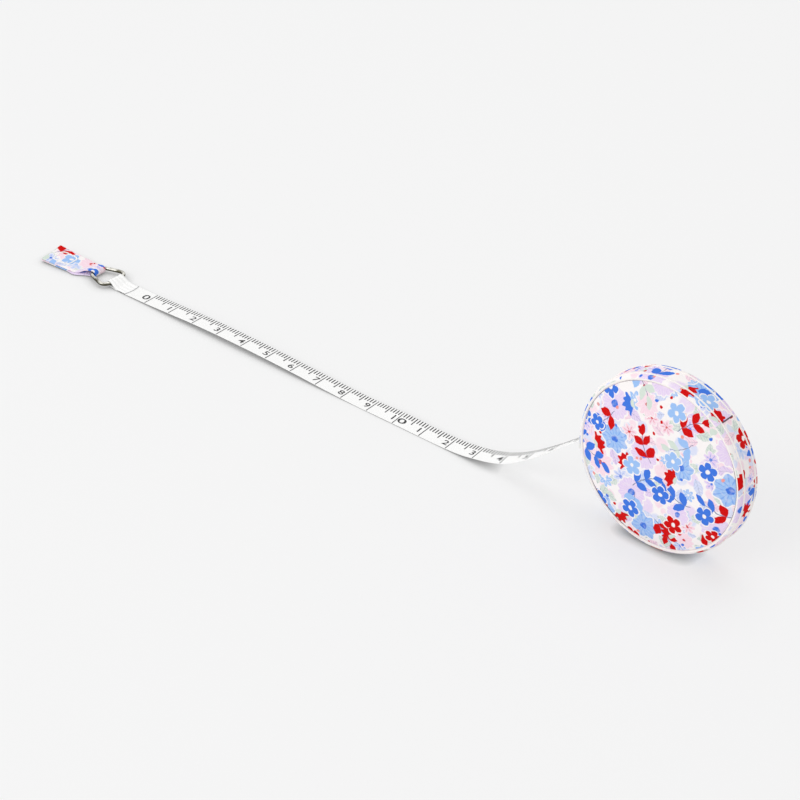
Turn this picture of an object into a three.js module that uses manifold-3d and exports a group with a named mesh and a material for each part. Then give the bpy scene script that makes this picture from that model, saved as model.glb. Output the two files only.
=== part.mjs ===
// Spring-return sewing tape measure in a padded cloth-covered round case.
// Millimetres, +Z up. The case stands on its rim at the origin with its axis along Y and its plain
// front face towards -Y. The tape leaves the case towards -X and lies on the surface that carries it.
import * as THREE from "three";
import { mergeVertices } from "three/addons/utils/BufferGeometryUtils.js";
import Module from "manifold-3d";

// Tape
const TAPE_WIDTH = 6.2;
const TAPE_THICKNESS = 0.24;
const TAPE_SIDE_GAP = 0.1; // between the wound tape and each flange
const COIL_RADIUS = 14.6; // outside of the tape that is still wound up

// Reel
const DRUM_RADIUS = 11;
const DRUM_WALL = 0.8;
const FLANGE_RADIUS = 16.2;
const FLANGE_THICKNESS = 0.5;
const WEB_THICKNESS = 0.6;
const WEB_RECESS = 0.7; // how far the web lies inside the rear flange, as room for the button
const PLATE_THICKNESS = 0.35;
const POST_RADIUS = 2;
const POST_CLEARANCE = 0.15;

// Springs
const SPRING_TURNS = 7;
const SPRING_STRIP = 0.2;
const SPRING_SLOT = 0.5; // slot in the post for the mainspring's inner end
const SPRING_END_GAP = 0.3; // between the mainspring and the walls round it
const WASHER_INNER_RADIUS = 4.5;
const WASHER_WIDTH = 2;
const WASHER_THICKNESS = 0.2;
const WASHER_WAVES = 3;

// Brake and button
const BRAKE_INSET = 0.6; // of the brake ring's edge from the flange's edge
const BRAKE_WIDTH = 2.8;
const BRAKE_THICKNESS = 0.55;
const BUTTON_RADIUS = 7.6;
const BUTTON_FLANGE = 1.6; // how far the button's flange reaches past its face
const BUTTON_FLANGE_THICKNESS = 0.6;
const BUTTON_TRAVEL = 0.6;
const BUTTON_BOSS_RADIUS = 4.4;
const BUTTON_BOSS_WALL = 1.2;
const BUTTON_CLEARANCE = 0.25;
const BEZEL_WALL = 0.55;
const BEZEL_LIP = 0.7;
const BEZEL_LIP_THICKNESS = 0.3;

// Case
const SHELL_THICKNESS = 0.9;
const SHELL_WALL = 1.1;
const LAP_LENGTH = 1.1; // half-lap joint between the two shells
const PAD_THICKNESS = 0.4;
const COVER_THICKNESS = 0.4;
const PLATEAU_RADIUS = 15; // flat middle of each padded face
const CROWN = 1.85; // fall of each face from its flat middle to its edge
const BAND_RADIUS = 27.1;
const BAND_THICKNESS = 0.6;
const TUCK_OFFSET = 2.75; // each sewn tuck's distance from the middle plane
const TUCK_HEIGHT = 0.3;
const TUCK_HALF_WIDTH = 0.28;
const WELT_SECTION_RADIUS = 0.42;
const STANDING_FLAT = 0.2; // how much the tucks are pressed flat where the case stands

// Mouth
const MOUTH_OPENING = 3.9;
const LIP_BAR = 1.3;
const LIP_SIDE = 0.2;

// Ring at the tape's end
const RING_WIRE = 1.2;
const RING_DEPTH = 8; // along the tape, between wire centres
const RING_WIDE = 9.6; // bar in the tape's fold, between wire centres
const RING_NARROW = 6.6; // bar in the tab, between wire centres
const RING_SPLIT = 0.3; // butt joint of the bent wire

// Folded end and pull tab
const FOLD_LENGTH = 8.6; // from the bar to the sewn edge
const TAB_LENGTH = 18.6; // from the ring to the free end
const TAB_CLOTH = 0.5;
const TAB_WIDE = 8.8;
const TAB_NARROW = 4.8;
const TAB_TAPER_LENGTH = 5.5;
const TAB_SKEW = 0.11; // sideways shift for each millimetre along the tab
const LOOP_CLEARANCE = 0.15;
const LOOP_REST = 0.15; // between the tab's loop and the surface

// Fits
const RUNNING_GAP = 0.1;
const SEAT_GAP = 0.05;
const CUT_GAP = 0.15;
const BUTT_GAP = 0.3;

// Facets
const CASE_SEGMENTS = 48;
const HUB_SEGMENTS = 24;
const TAPE_STEPS = 72;
const SPRING_STEPS_PER_TURN = 20;

// Middle line of the tape from the mouth to its sewn end: distance from the mouth, sideways, up.
const TAPE_ROUTE = [
  [0, -0.05, 22.6],
  [4.6, -0.25, 18.75],
  [9.7, -0.6, 14.6],
  [13.8, -0.9, 11.4],
  [18.1, -1.2, 8.4],
  [22.1, -1.45, 6.0],
  [26.2, -1.6, 3.95],
  [30.6, -1.72, 2.45],
  [35.6, -1.8, 1.35],
  [40.6, -1.85, 0.65],
  [45.6, -1.85, 0.3],
  [52.6, -1.85, 0.17],
  [64.6, -1.85, 0.17],
  [76.6, -1.85, 0.2],
  [85.6, -1.85, 0.35],
  [94.6, -1.85, 0.72],
  [104.6, -1.85, 1.1],
  [114.6, -1.85, 1.42],
  [124.6, -1.85, 1.58],
  [135.6, -1.85, 1.6],
  [145.6, -1.85, 1.4],
  [155.6, -1.85, 0.95],
  [165.4, -1.85, 0.52],
  [171.7, -1.85, 0.4],
];

// Sizes that follow from the ones above
const TAPE_HALF = TAPE_WIDTH / 2;
const DRUM_HALF = TAPE_HALF + TAPE_SIDE_GAP;
const FRONT_INSIDE = DRUM_HALF + SEAT_GAP + PLATE_THICKNESS + BUTTON_TRAVEL + 2 * RUNNING_GAP;
const BRAKE_FACE = DRUM_HALF + FLANGE_THICKNESS + SEAT_GAP;
const REAR_INSIDE = BRAKE_FACE + BRAKE_THICKNESS + SEAT_GAP;
const PAD_FLOOR = SHELL_THICKNESS + SEAT_GAP;
const COVER_FLOOR = PAD_FLOOR + PAD_THICKNESS + SEAT_GAP;
const FACE_HEIGHT = COVER_FLOOR + COVER_THICKNESS;
const AXIS_HEIGHT = BAND_RADIUS + TUCK_HEIGHT - STANDING_FLAT;
const SHELL_RADIUS = BAND_RADIUS - BAND_THICKNESS - 2 * RUNNING_GAP;
const WELT_RING_RADIUS = SHELL_RADIUS - RUNNING_GAP;
const COVER_RADIUS = WELT_RING_RADIUS - WELT_SECTION_RADIUS - RUNNING_GAP;
const SHOULDER_RADIUS = COVER_RADIUS - WELT_SECTION_RADIUS;
const BUTTON_HOLE_RADIUS = BUTTON_RADIUS + BUTTON_CLEARANCE;
const BUTTON_FLANGE_TOP = REAR_INSIDE - RUNNING_GAP;
const BUTTON_FLANGE_FOOT = BUTTON_FLANGE_TOP - BUTTON_FLANGE_THICKNESS;
const BEZEL_RADIUS = BUTTON_HOLE_RADIUS + BEZEL_WALL;
const LIP_HALF_WIDTH = TAPE_HALF + CUT_GAP + LIP_SIDE;
const LIP_HALF_HEIGHT = MOUTH_OPENING / 2 + LIP_BAR;
const MOUTH_X = -(BAND_RADIUS + TUCK_HEIGHT);
const MOUTH_HEIGHT = TAPE_ROUTE[0][2];
const [TAPE_RUN_LENGTH, TAPE_END_Y, TAPE_END_HEIGHT] = TAPE_ROUTE[TAPE_ROUTE.length - 1];
const FOLD_END_X = MOUTH_X - TAPE_RUN_LENGTH - BUTT_GAP;
const RING_BAR_X = FOLD_END_X - FOLD_LENGTH;
const TAB_BAR_X = RING_BAR_X - RING_DEPTH;
const RING_HEIGHT = RING_WIRE / 2 + LOOP_CLEARANCE + TAB_CLOTH + LOOP_REST;

// How far a padded face has fallen at a given distance from the axis.
function crownFall(radius) {
  const share = Math.max(0, (radius - PLATEAU_RADIUS) / (COVER_RADIUS - PLATEAU_RADIUS));
  return CROWN * share * share;
}

const wasm = await Module();
wasm.setup();

// A closed mesh with shared corners, without slivers, facing out.
function closedMesh(geometry) {
  const bare = geometry.clone();
  bare.deleteAttribute("normal");
  bare.deleteAttribute("uv");
  const merged = mergeVertices(bare, 1e-4);
  const { array } = merged.attributes.position;
  const corners = [];
  let volume = 0;
  const a = new THREE.Vector3();
  const b = new THREE.Vector3();
  const c = new THREE.Vector3();
  for (let i = 0; i < merged.index.count; i += 3) {
    const [p, q, r] = [0, 1, 2].map((k) => merged.index.getX(i + k));
    if (p === q || q === r || r === p) continue;
    corners.push(p, q, r);
    a.fromArray(array, 3 * p);
    b.fromArray(array, 3 * q);
    c.fromArray(array, 3 * r);
    volume += a.dot(b.cross(c));
  }
  if (volume < 0) corners.reverse();
  merged.setIndex(corners);
  return merged;
}

function solidOf(geometry) {
  const closed = closedMesh(geometry);
  const vertProperties = closed.attributes.position.array;
  const triVerts = new Uint32Array(closed.index.array);
  return new wasm.Manifold(new wasm.Mesh({ numProp: 3, vertProperties, triVerts }));
}

function geometryOf(solid) {
  const { vertProperties, triVerts } = solid.getMesh();
  const geometry = new THREE.BufferGeometry();
  geometry.setAttribute("position", new THREE.BufferAttribute(vertProperties, 3));
  geometry.setIndex(new THREE.BufferAttribute(triVerts, 1));
  return geometry;
}

function cut(geometry, ...cutters) {
  return geometryOf(cutters.reduce((solid, c) => solid.subtract(solidOf(c)), solidOf(geometry)));
}

function joined(geometry, ...others) {
  return geometryOf(others.reduce((solid, o) => solid.add(solidOf(o)), solidOf(geometry)));
}

function common(geometry, other) {
  return geometryOf(solidOf(geometry).intersect(solidOf(other)));
}

// A ring or disc turned about the case's axis from [radius, height along the axis] points.
function turned(profile, segments = CASE_SEGMENTS) {
  const points = profile.map(([radius, along]) => new THREE.Vector2(radius, along));
  const onAxis = profile[0][0] === 0 && profile[profile.length - 1][0] === 0;
  if (!onAxis) points.push(points[0].clone());
  return closedMesh(new THREE.LatheGeometry(points, segments)).translate(0, 0, AXIS_HEIGHT);
}

function box(low, high) {
  const size = high.map((value, k) => value - low[k]);
  const middle = high.map((value, k) => (value + low[k]) / 2);
  return new THREE.BoxGeometry(...size).translate(...middle);
}

// A side outline in the X-Z plane, given a width along Y about a middle line.
function acrossTape(shape, width, middleY) {
  const options = { depth: width, bevelEnabled: false, curveSegments: 10 };
  const geometry = new THREE.ExtrudeGeometry(shape, options);
  return closedMesh(geometry.rotateX(Math.PI / 2).translate(0, middleY + width / 2, 0));
}

// Moves each corner sideways by an amount that depends on its place along the tape.
function shifted(geometry, sideways) {
  const { position } = geometry.attributes;
  for (let i = 0; i < position.count; i += 1) {
    position.setY(i, position.getY(i) + sideways(position.getX(i)));
  }
  return geometry;
}

// One layer of a padded face between two depths below its surface, from an inner to an outer radius.
function faceLayer(side, inside, low, high, innerRadius, outerRadius) {
  const stations = innerRadius > 0 ? [innerRadius, BEZEL_RADIUS + BEZEL_LIP + RUNNING_GAP] : [0];
  const steps = 4;
  const start = Math.max(innerRadius, PLATEAU_RADIUS);
  for (let k = 0; k <= steps; k += 1) stations.push(start + ((outerRadius - start) * k) / steps);
  const radii = stations.filter((radius, k) => k === 0 || radius - stations[k - 1] > 1e-6);
  const line = (height) => radii.map((radius) => [radius, side * (inside + height - crownFall(radius))]);
  return turned([...line(low), ...line(high).reverse()]);
}

// Profile of one case half: its face, shoulder and wall with a half-lap joint at the middle plane.
function shellProfile(side, inside, innerRadius, lapIsInner) {
  const wallInner = SHELL_RADIUS - SHELL_WALL;
  const lapRadius = wallInner + SHELL_WALL / 2;
  const third = (wallInner - PLATEAU_RADIUS) / 3;
  const steps = [innerRadius, PLATEAU_RADIUS, PLATEAU_RADIUS + third, PLATEAU_RADIUS + 2 * third];
  const face = (height, radius) => [radius, side * (inside + height - crownFall(radius))];
  const outerFace = steps.map((radius) => face(SHELL_THICKNESS, radius));
  const innerFace = steps.map((radius) => face(0, radius));
  const shoulder = face(SHELL_THICKNESS, SHOULDER_RADIUS);
  const chamfer = (SHELL_RADIUS - SHOULDER_RADIUS) / 3;
  const lap = lapIsInner
    ? [
        [SHELL_RADIUS, side * SEAT_GAP],
        [lapRadius - SEAT_GAP, side * SEAT_GAP],
        [lapRadius - SEAT_GAP, -side * LAP_LENGTH],
        [wallInner, -side * LAP_LENGTH],
      ]
    : [
        [SHELL_RADIUS, -side * SEAT_GAP],
        [lapRadius + SEAT_GAP, -side * SEAT_GAP],
        [lapRadius + SEAT_GAP, side * (LAP_LENGTH + SEAT_GAP)],
        [wallInner, side * (LAP_LENGTH + SEAT_GAP)],
      ];
  return [
    ...outerFace,
    shoulder,
    [SHELL_RADIUS, shoulder[1] - side * chamfer],
    ...lap,
    face(0, wallInner),
    ...innerFace.reverse(),
  ];
}

// The gap in the rim that the mouth's lip sits in.
function mouthCut() {
  const half = LIP_HALF_WIDTH + CUT_GAP;
  const reach = LIP_HALF_HEIGHT + CUT_GAP;
  const middle = lipMiddle();
  return box([-2 * BAND_RADIUS, -half, middle - reach], [-DRUM_RADIUS, half, middle + reach]);
}

// The lip's place: the tape climbs through it, so it sits a little above the mouth's outer edge.
function lipMiddle() {
  return MOUTH_HEIGHT + MOUTH_OPENING / 4;
}

function frontShell() {
  const shell = turned(shellProfile(-1, FRONT_INSIDE, 0, true));
  const postEnd = BUTTON_FLANGE_FOOT - BUTTON_TRAVEL - RUNNING_GAP;
  const post = turned(
    [
      [0, -FRONT_INSIDE - SHELL_THICKNESS / 2],
      [POST_RADIUS, -FRONT_INSIDE - SHELL_THICKNESS / 2],
      [POST_RADIUS, postEnd],
      [0, postEnd],
    ],
    HUB_SEGMENTS,
  );
  const slot = box(
    [-2 * POST_RADIUS, -DRUM_HALF, AXIS_HEIGHT - SPRING_SLOT / 2],
    [2 * POST_RADIUS, 2 * DRUM_HALF, AXIS_HEIGHT + SPRING_SLOT / 2],
  );
  return joined(cut(shell, mouthCut()), cut(post, slot));
}

function rearShell() {
  return cut(turned(shellProfile(1, REAR_INSIDE, BUTTON_HOLE_RADIUS, false)), mouthCut());
}

function reelDrum() {
  const bore = POST_RADIUS + POST_CLEARANCE;
  const inner = DRUM_RADIUS - DRUM_WALL;
  const flangeTop = DRUM_HALF + FLANGE_THICKNESS;
  const webTop = flangeTop - WEB_RECESS;
  return turned([
    [bore, webTop - WEB_THICKNESS],
    [inner, webTop - WEB_THICKNESS],
    [inner, -DRUM_HALF],
    [DRUM_RADIUS, -DRUM_HALF],
    [DRUM_RADIUS, DRUM_HALF],
    [FLANGE_RADIUS, DRUM_HALF],
    [FLANGE_RADIUS, flangeTop],
    [inner + DRUM_WALL / 2, flangeTop],
    [inner, webTop],
    [bore, webTop],
  ]);
}

// A flat ring square to the case's axis.
function flatRing(inner, outer, low, high) {
  return turned([
    [inner, low],
    [outer, low],
    [outer, high],
    [inner, high],
  ]);
}

function reelPlate() {
  const top = -DRUM_HALF - SEAT_GAP;
  return flatRing(POST_RADIUS + POST_CLEARANCE, FLANGE_RADIUS, top - PLATE_THICKNESS, top);
}

function tapeCoil() {
  return flatRing(DRUM_RADIUS + SEAT_GAP, COIL_RADIUS, -TAPE_HALF, TAPE_HALF);
}

function brakeRing() {
  const outer = FLANGE_RADIUS - BRAKE_INSET;
  const inner = outer - BRAKE_WIDTH;
  const back = BRAKE_FACE + BRAKE_THICKNESS;
  return turned([
    [inner, BRAKE_FACE],
    [outer, BRAKE_FACE],
    [outer, back - crownFall(outer)],
    [inner, back - crownFall(inner)],
  ]);
}

// Spiral strip from the post's slot out to the drum's wall.
function mainspring() {
  const inner = POST_RADIUS + POST_CLEARANCE + SPRING_END_GAP;
  const outer = DRUM_RADIUS - DRUM_WALL - SPRING_END_GAP - SPRING_STRIP;
  const steps = SPRING_TURNS * SPRING_STEPS_PER_TURN;
  const inside = [];
  const outside = [];
  for (let k = 0; k <= steps; k += 1) {
    const angle = (2 * Math.PI * k) / SPRING_STEPS_PER_TURN;
    const radius = inner + ((outer - inner) * k) / steps;
    inside.push(new THREE.Vector2(radius * Math.cos(angle), radius * Math.sin(angle)));
    const far = radius + SPRING_STRIP;
    outside.push(new THREE.Vector2(far * Math.cos(angle), far * Math.sin(angle)));
  }
  const half = SPRING_STRIP / 2;
  const tongue = [
    new THREE.Vector2(inner + SPRING_STRIP, -half),
    new THREE.Vector2(POST_RADIUS / 2, -half),
    new THREE.Vector2(POST_RADIUS / 2, half),
    new THREE.Vector2(inner, half),
  ];
  const outline = [...outside.slice(1).reverse(), ...tongue, ...inside.slice(1)];
  const gap = (outer - inner) / SPRING_TURNS - SPRING_STRIP;
  console.log(`mainspring: least gap between its turns ${gap.toFixed(2)} mm`);
  const low = -DRUM_HALF + SPRING_END_GAP;
  const high = DRUM_HALF + FLANGE_THICKNESS - WEB_RECESS - WEB_THICKNESS - SPRING_END_GAP;
  const shape = new THREE.Shape(outline);
  const strip = new THREE.ExtrudeGeometry(shape, { depth: high - low, bevelEnabled: false });
  return closedMesh(strip.rotateX(Math.PI / 2).translate(0, high, AXIS_HEIGHT));
}

// Wave washer between the front shell and the reel.
function brakeSpring() {
  const middle = -(FRONT_INSIDE + DRUM_HALF + SEAT_GAP + PLATE_THICKNESS) / 2;
  const swing = (BUTTON_TRAVEL + 2 * RUNNING_GAP - WASHER_THICKNESS) / 2 - RUNNING_GAP;
  const half = WASHER_THICKNESS / 2;
  const outer = WASHER_INNER_RADIUS + WASHER_WIDTH;
  const washer = flatRing(WASHER_INNER_RADIUS, outer, middle - half, middle + half);
  const { position } = washer.attributes;
  for (let i = 0; i < position.count; i += 1) {
    const angle = Math.atan2(position.getZ(i) - AXIS_HEIGHT, position.getX(i));
    position.setY(i, position.getY(i) + swing * Math.sin(WASHER_WAVES * angle));
  }
  return washer;
}

function pushButton() {
  const top = REAR_INSIDE + PAD_FLOOR + PAD_THICKNESS;
  const bossFoot = DRUM_HALF + FLANGE_THICKNESS - WEB_RECESS + RUNNING_GAP;
  const flangeRadius = BUTTON_RADIUS + BUTTON_FLANGE;
  return turned([
    [0, BUTTON_FLANGE_FOOT],
    [BUTTON_BOSS_RADIUS - BUTTON_BOSS_WALL, BUTTON_FLANGE_FOOT],
    [BUTTON_BOSS_RADIUS - BUTTON_BOSS_WALL, bossFoot],
    [BUTTON_BOSS_RADIUS, bossFoot],
    [BUTTON_BOSS_RADIUS, BUTTON_FLANGE_FOOT],
    [flangeRadius, BUTTON_FLANGE_FOOT],
    [flangeRadius, BUTTON_FLANGE_TOP],
    [BUTTON_RADIUS, BUTTON_FLANGE_TOP],
    [BUTTON_RADIUS, top],
    [0, top],
  ]);
}

// Low cloth dome on the button, level with the padded face at its middle.
function buttonCover() {
  const foot = REAR_INSIDE + PAD_FLOOR + PAD_THICKNESS + SEAT_GAP;
  const top = REAR_INSIDE + FACE_HEIGHT;
  return turned([
    [0, foot],
    [BUTTON_RADIUS, foot],
    [BUTTON_RADIUS, foot + (top - foot) / 3],
    [0.8 * BUTTON_RADIUS, foot + 0.8 * (top - foot)],
    [0.4 * BUTTON_RADIUS, top],
    [0, top],
  ]);
}

function buttonBezel() {
  const foot = REAR_INSIDE + PAD_FLOOR;
  const face = REAR_INSIDE + FACE_HEIGHT + SEAT_GAP;
  return turned([
    [BUTTON_HOLE_RADIUS, foot],
    [BEZEL_RADIUS, foot],
    [BEZEL_RADIUS, face],
    [BEZEL_RADIUS + BEZEL_LIP, face],
    [BEZEL_RADIUS + BEZEL_LIP, face + BEZEL_LIP_THICKNESS / 2],
    [BEZEL_RADIUS, face + BEZEL_LIP_THICKNESS],
    [BUTTON_HOLE_RADIUS, face + BEZEL_LIP_THICKNESS / 2],
  ]);
}

function facePad(side, inside, innerRadius) {
  return faceLayer(side, inside, PAD_FLOOR, PAD_FLOOR + PAD_THICKNESS, innerRadius, SHOULDER_RADIUS);
}

function faceCover(side, inside, innerRadius) {
  return faceLayer(side, inside, COVER_FLOOR, FACE_HEIGHT, innerRadius, COVER_RADIUS);
}

// Middle of the welt's section, beside the edge of its cover.
function weltOffset(inside) {
  return inside + FACE_HEIGHT - CROWN - COVER_THICKNESS / 2 + RUNNING_GAP;
}

function welt(side, inside) {
  const sides = 8;
  const profile = [];
  for (let k = 0; k < sides; k += 1) {
    const angle = (2 * Math.PI * (k + 0.5)) / sides;
    profile.push([
      WELT_RING_RADIUS + WELT_SECTION_RADIUS * Math.cos(angle),
      side * weltOffset(inside) + WELT_SECTION_RADIUS * Math.sin(angle),
    ]);
  }
  return turned(profile);
}

function sideBand() {
  const inner = BAND_RADIUS - BAND_THICKNESS;
  const frontEdge = -(weltOffset(FRONT_INSIDE) - WELT_SECTION_RADIUS - RUNNING_GAP);
  const rearEdge = weltOffset(REAR_INSIDE) - WELT_SECTION_RADIUS - RUNNING_GAP;
  const tuck = (middle) => [
    [BAND_RADIUS, middle - TUCK_HALF_WIDTH],
    [BAND_RADIUS + TUCK_HEIGHT, middle],
    [BAND_RADIUS, middle + TUCK_HALF_WIDTH],
  ];
  const ring = turned([
    [inner, frontEdge],
    [BAND_RADIUS, frontEdge],
    ...tuck(-TUCK_OFFSET),
    ...tuck(TUCK_OFFSET),
    [BAND_RADIUS, rearEdge],
    [inner, rearEdge],
  ]);
  const reach = 2 * BAND_RADIUS;
  return cut(ring, mouthCut(), box([-reach, -reach, -reach], [reach, reach, 0]));
}

function mouthLip() {
  const outerX = MOUTH_X;
  const innerX = outerX + TUCK_HEIGHT + BAND_THICKNESS + 2 * RUNNING_GAP + SHELL_WALL;
  const middle = lipMiddle();
  const frame = box(
    [outerX, -LIP_HALF_WIDTH, middle - LIP_HALF_HEIGHT],
    [innerX, LIP_HALF_WIDTH, middle + LIP_HALF_HEIGHT],
  );
  const half = TAPE_HALF + CUT_GAP;
  const slot = box(
    [2 * outerX, -half, middle - MOUTH_OPENING / 2],
    [0, half, middle + MOUTH_OPENING / 2],
  );
  return cut(frame, slot);
}

// Where the tape leaves the outside of the coil on its straight way to the mouth.
function coilExit() {
  const radius = COIL_RADIUS + RUNNING_GAP + TAPE_THICKNESS / 2;
  const rise = MOUTH_HEIGHT - AXIS_HEIGHT;
  const angle = Math.atan2(rise, MOUTH_X) - Math.acos(radius / Math.hypot(rise, MOUTH_X));
  return new THREE.Vector3(radius * Math.cos(angle), 0, AXIS_HEIGHT + radius * Math.sin(angle));
}

// The tape as one strip from the coil through the mouth to its sewn end.
function tapeRun() {
  const outside = TAPE_ROUTE.map(([along, , up]) => new THREE.Vector3(MOUTH_X - along, 0, up));
  const leave = coilExit();
  const inside = [0, 1 / 3, 2 / 3].map((share) => leave.clone().lerp(outside[0], share));
  const curve = new THREE.CatmullRomCurve3([...inside, ...outside], false, "centripetal");
  const half = TAPE_THICKNESS / 2;
  const upper = [];
  const lower = [];
  for (let k = 0; k <= TAPE_STEPS; k += 1) {
    const point = curve.getPointAt(k / TAPE_STEPS);
    const way = curve.getTangentAt(k / TAPE_STEPS);
    upper.push(new THREE.Vector2(point.x - way.z * half, point.z + way.x * half));
    lower.push(new THREE.Vector2(point.x + way.z * half, point.z - way.x * half));
  }
  const strip = acrossTape(new THREE.Shape([...upper, ...lower.reverse()]), TAPE_WIDTH, 0);
  return shifted(strip, routeSideways);
}

// Sideways place of the route at a place along X.
function routeSideways(x) {
  const along = MOUTH_X - x;
  const next = TAPE_ROUTE.findIndex(([distance]) => distance >= along);
  if (next < 0) return TAPE_END_Y;
  if (next === 0) return Math.abs(along) < LIP_HALF_HEIGHT ? TAPE_ROUTE[0][1] : 0;
  const [d0, y0] = TAPE_ROUTE[next - 1];
  const [d1, y1] = TAPE_ROUTE[next];
  return y0 + ((y1 - y0) * (along - d0)) / (d1 - d0);
}

// Side outline of cloth that runs round a ring's bar and lies flat in two layers beside it.
function foldOutline(barX, reachX, foot, cloth, endLift) {
  const way = Math.sign(reachX - barX);
  const eye = RING_WIRE / 2 + LOOP_CLEARANCE;
  const outer = eye + cloth;
  const flatX = barX + way * 2.2 * outer;
  const arcSteps = 12;
  const outline = [];
  for (let k = 0; k <= arcSteps; k += 1) {
    const angle = Math.PI / 2 + (Math.PI * k) / arcSteps;
    outline.push([barX + way * outer * Math.cos(angle), RING_HEIGHT + outer * Math.sin(angle)]);
  }
  outline.push([flatX, foot]);
  outline.push([reachX, foot + endLift]);
  outline.push([reachX, foot + endLift + 2 * cloth]);
  outline.push([flatX, foot + 2 * cloth]);
  if (way < 0) outline.reverse();
  const shape = new THREE.Shape(outline.map(([x, z]) => new THREE.Vector2(x, z)));
  const hole = new THREE.Path();
  hole.absarc(barX, RING_HEIGHT, eye, 0, 2 * Math.PI, true);
  shape.holes.push(hole);
  return shape;
}

function tapeEnd() {
  const foot = TAPE_END_HEIGHT - TAPE_THICKNESS;
  const outline = foldOutline(RING_BAR_X, RING_BAR_X + FOLD_LENGTH, foot, TAPE_THICKNESS, 0);
  return acrossTape(outline, TAPE_WIDTH, TAPE_END_Y);
}

// Bent wire in the shape of a rounded trapezium, open at its butt joint in the tape's fold.
function endRing() {
  const wide = RING_WIDE / 2;
  const narrow = RING_NARROW / 2;
  const corner = RING_WIRE;
  const near = RING_BAR_X;
  const far = TAB_BAR_X;
  const split = RING_SPLIT / 2;
  const half = [
    [near, split],
    [near, wide / 2],
    [near, wide - corner],
    [near - corner / 3, wide - corner / 4],
    [near - corner, wide],
    [(near + far) / 2, (wide + narrow) / 2],
    [far + corner, narrow],
    [far + corner / 3, narrow - corner / 4],
    [far, narrow - corner],
  ];
  const mirrored = half.map(([x, y]) => [x, -y]).reverse();
  const points = [...half, ...mirrored].map(([x, y]) => new THREE.Vector3(x, y + TAPE_END_Y, RING_HEIGHT));
  const section = new THREE.Shape();
  section.absarc(0, 0, RING_WIRE / 2, 0, 2 * Math.PI, false);
  const extrudePath = new THREE.CatmullRomCurve3(points, false, "centripetal");
  return closedMesh(new THREE.ExtrudeGeometry(section, { steps: 56, curveSegments: 4, extrudePath }));
}

// Cloth tab: folded round the ring, drawn in there, lying flat in two layers.
function pullTab() {
  const reachX = TAB_BAR_X - TAB_LENGTH;
  const foot = RING_HEIGHT - RING_WIRE / 2 - LOOP_CLEARANCE - TAB_CLOTH;
  const strip = acrossTape(foldOutline(TAB_BAR_X, reachX, foot, TAB_CLOTH, 0.4), TAB_WIDE, TAPE_END_Y);
  const drawnX = TAB_BAR_X - 2 * TAB_CLOTH - RING_WIRE / 2;
  const wideX = drawnX - TAB_TAPER_LENGTH;
  const plan = new THREE.Shape();
  const past = TAB_BAR_X + RING_DEPTH / 2;
  plan.moveTo(past, -TAB_NARROW / 2);
  plan.lineTo(past, TAB_NARROW / 2);
  plan.lineTo(drawnX, TAB_NARROW / 2);
  plan.lineTo(wideX, TAB_WIDE / 2);
  plan.lineTo(2 * reachX - wideX, TAB_WIDE / 2);
  plan.lineTo(2 * reachX - wideX, -TAB_WIDE / 2);
  plan.lineTo(wideX, -TAB_WIDE / 2);
  plan.lineTo(drawnX, -TAB_NARROW / 2);
  plan.closePath();
  const block = new THREE.ExtrudeGeometry(plan, { depth: 4 * RING_HEIGHT, bevelEnabled: false });
  const drawn = common(strip, block.translate(0, TAPE_END_Y, -RING_HEIGHT));
  return shifted(drawn, (along) => -TAB_SKEW * Math.max(0, TAB_BAR_X - along));
}

const printedCloth = { color: 0xe9dfe8, roughness: 0.85, metalness: 0 };
const paleCloth = { color: 0xf3ece2, roughness: 0.85, metalness: 0 };
const foam = { color: 0xe6e0cf, roughness: 0.95, metalness: 0 };
const whitePlastic = { color: 0xe8e8e6, roughness: 0.5, metalness: 0 };
const greyPlastic = { color: 0x9aa0a6, roughness: 0.45, metalness: 0 };
const tapeWhite = { color: 0xf4f4f2, roughness: 0.4, metalness: 0 };
const springSteel = { color: 0x8d9196, roughness: 0.35, metalness: 1 };
const platedSteel = { color: 0xc9c6c0, roughness: 0.2, metalness: 1 };
const brakeRubber = { color: 0x2e2f31, roughness: 0.9, metalness: 0 };

const tapeMeasure = new THREE.Group();

function add(name, geometry, finish) {
  const mesh = new THREE.Mesh(geometry, new THREE.MeshStandardMaterial(finish));
  mesh.name = name;
  tapeMeasure.add(mesh);
}

add("front_shell", frontShell(), whitePlastic);
add("rear_shell", rearShell(), whitePlastic);
add("front_pad", facePad(-1, FRONT_INSIDE, 0), foam);
add("rear_pad", facePad(1, REAR_INSIDE, BEZEL_RADIUS + RUNNING_GAP), foam);
add("front_cover", faceCover(-1, FRONT_INSIDE, 0), printedCloth);
add("rear_cover", faceCover(1, REAR_INSIDE, BEZEL_RADIUS + RUNNING_GAP), printedCloth);
add("front_welt", welt(-1, FRONT_INSIDE), paleCloth);
add("rear_welt", welt(1, REAR_INSIDE), paleCloth);
add("side_band", sideBand(), printedCloth);
add("mouth_lip", mouthLip(), whitePlastic);
add("reel_drum", reelDrum(), greyPlastic);
add("reel_plate", reelPlate(), greyPlastic);
add("tape_coil", tapeCoil(), tapeWhite);
add("mainspring", mainspring(), springSteel);
add("brake_spring", brakeSpring(), springSteel);
add("brake_ring", brakeRing(), brakeRubber);
add("push_button", pushButton(), whitePlastic);
add("button_cover", buttonCover(), printedCloth);
add("button_bezel", buttonBezel(), platedSteel);
add("tape_run", tapeRun(), tapeWhite);
add("tape_end", tapeEnd(), tapeWhite);
add("end_ring", endRing(), platedSteel);
add("pull_tab", pullTab(), printedCloth);

export default tapeMeasure;
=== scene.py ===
"""Studio scene of a cloth-covered sewing tape measure with its tape drawn out."""

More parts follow.
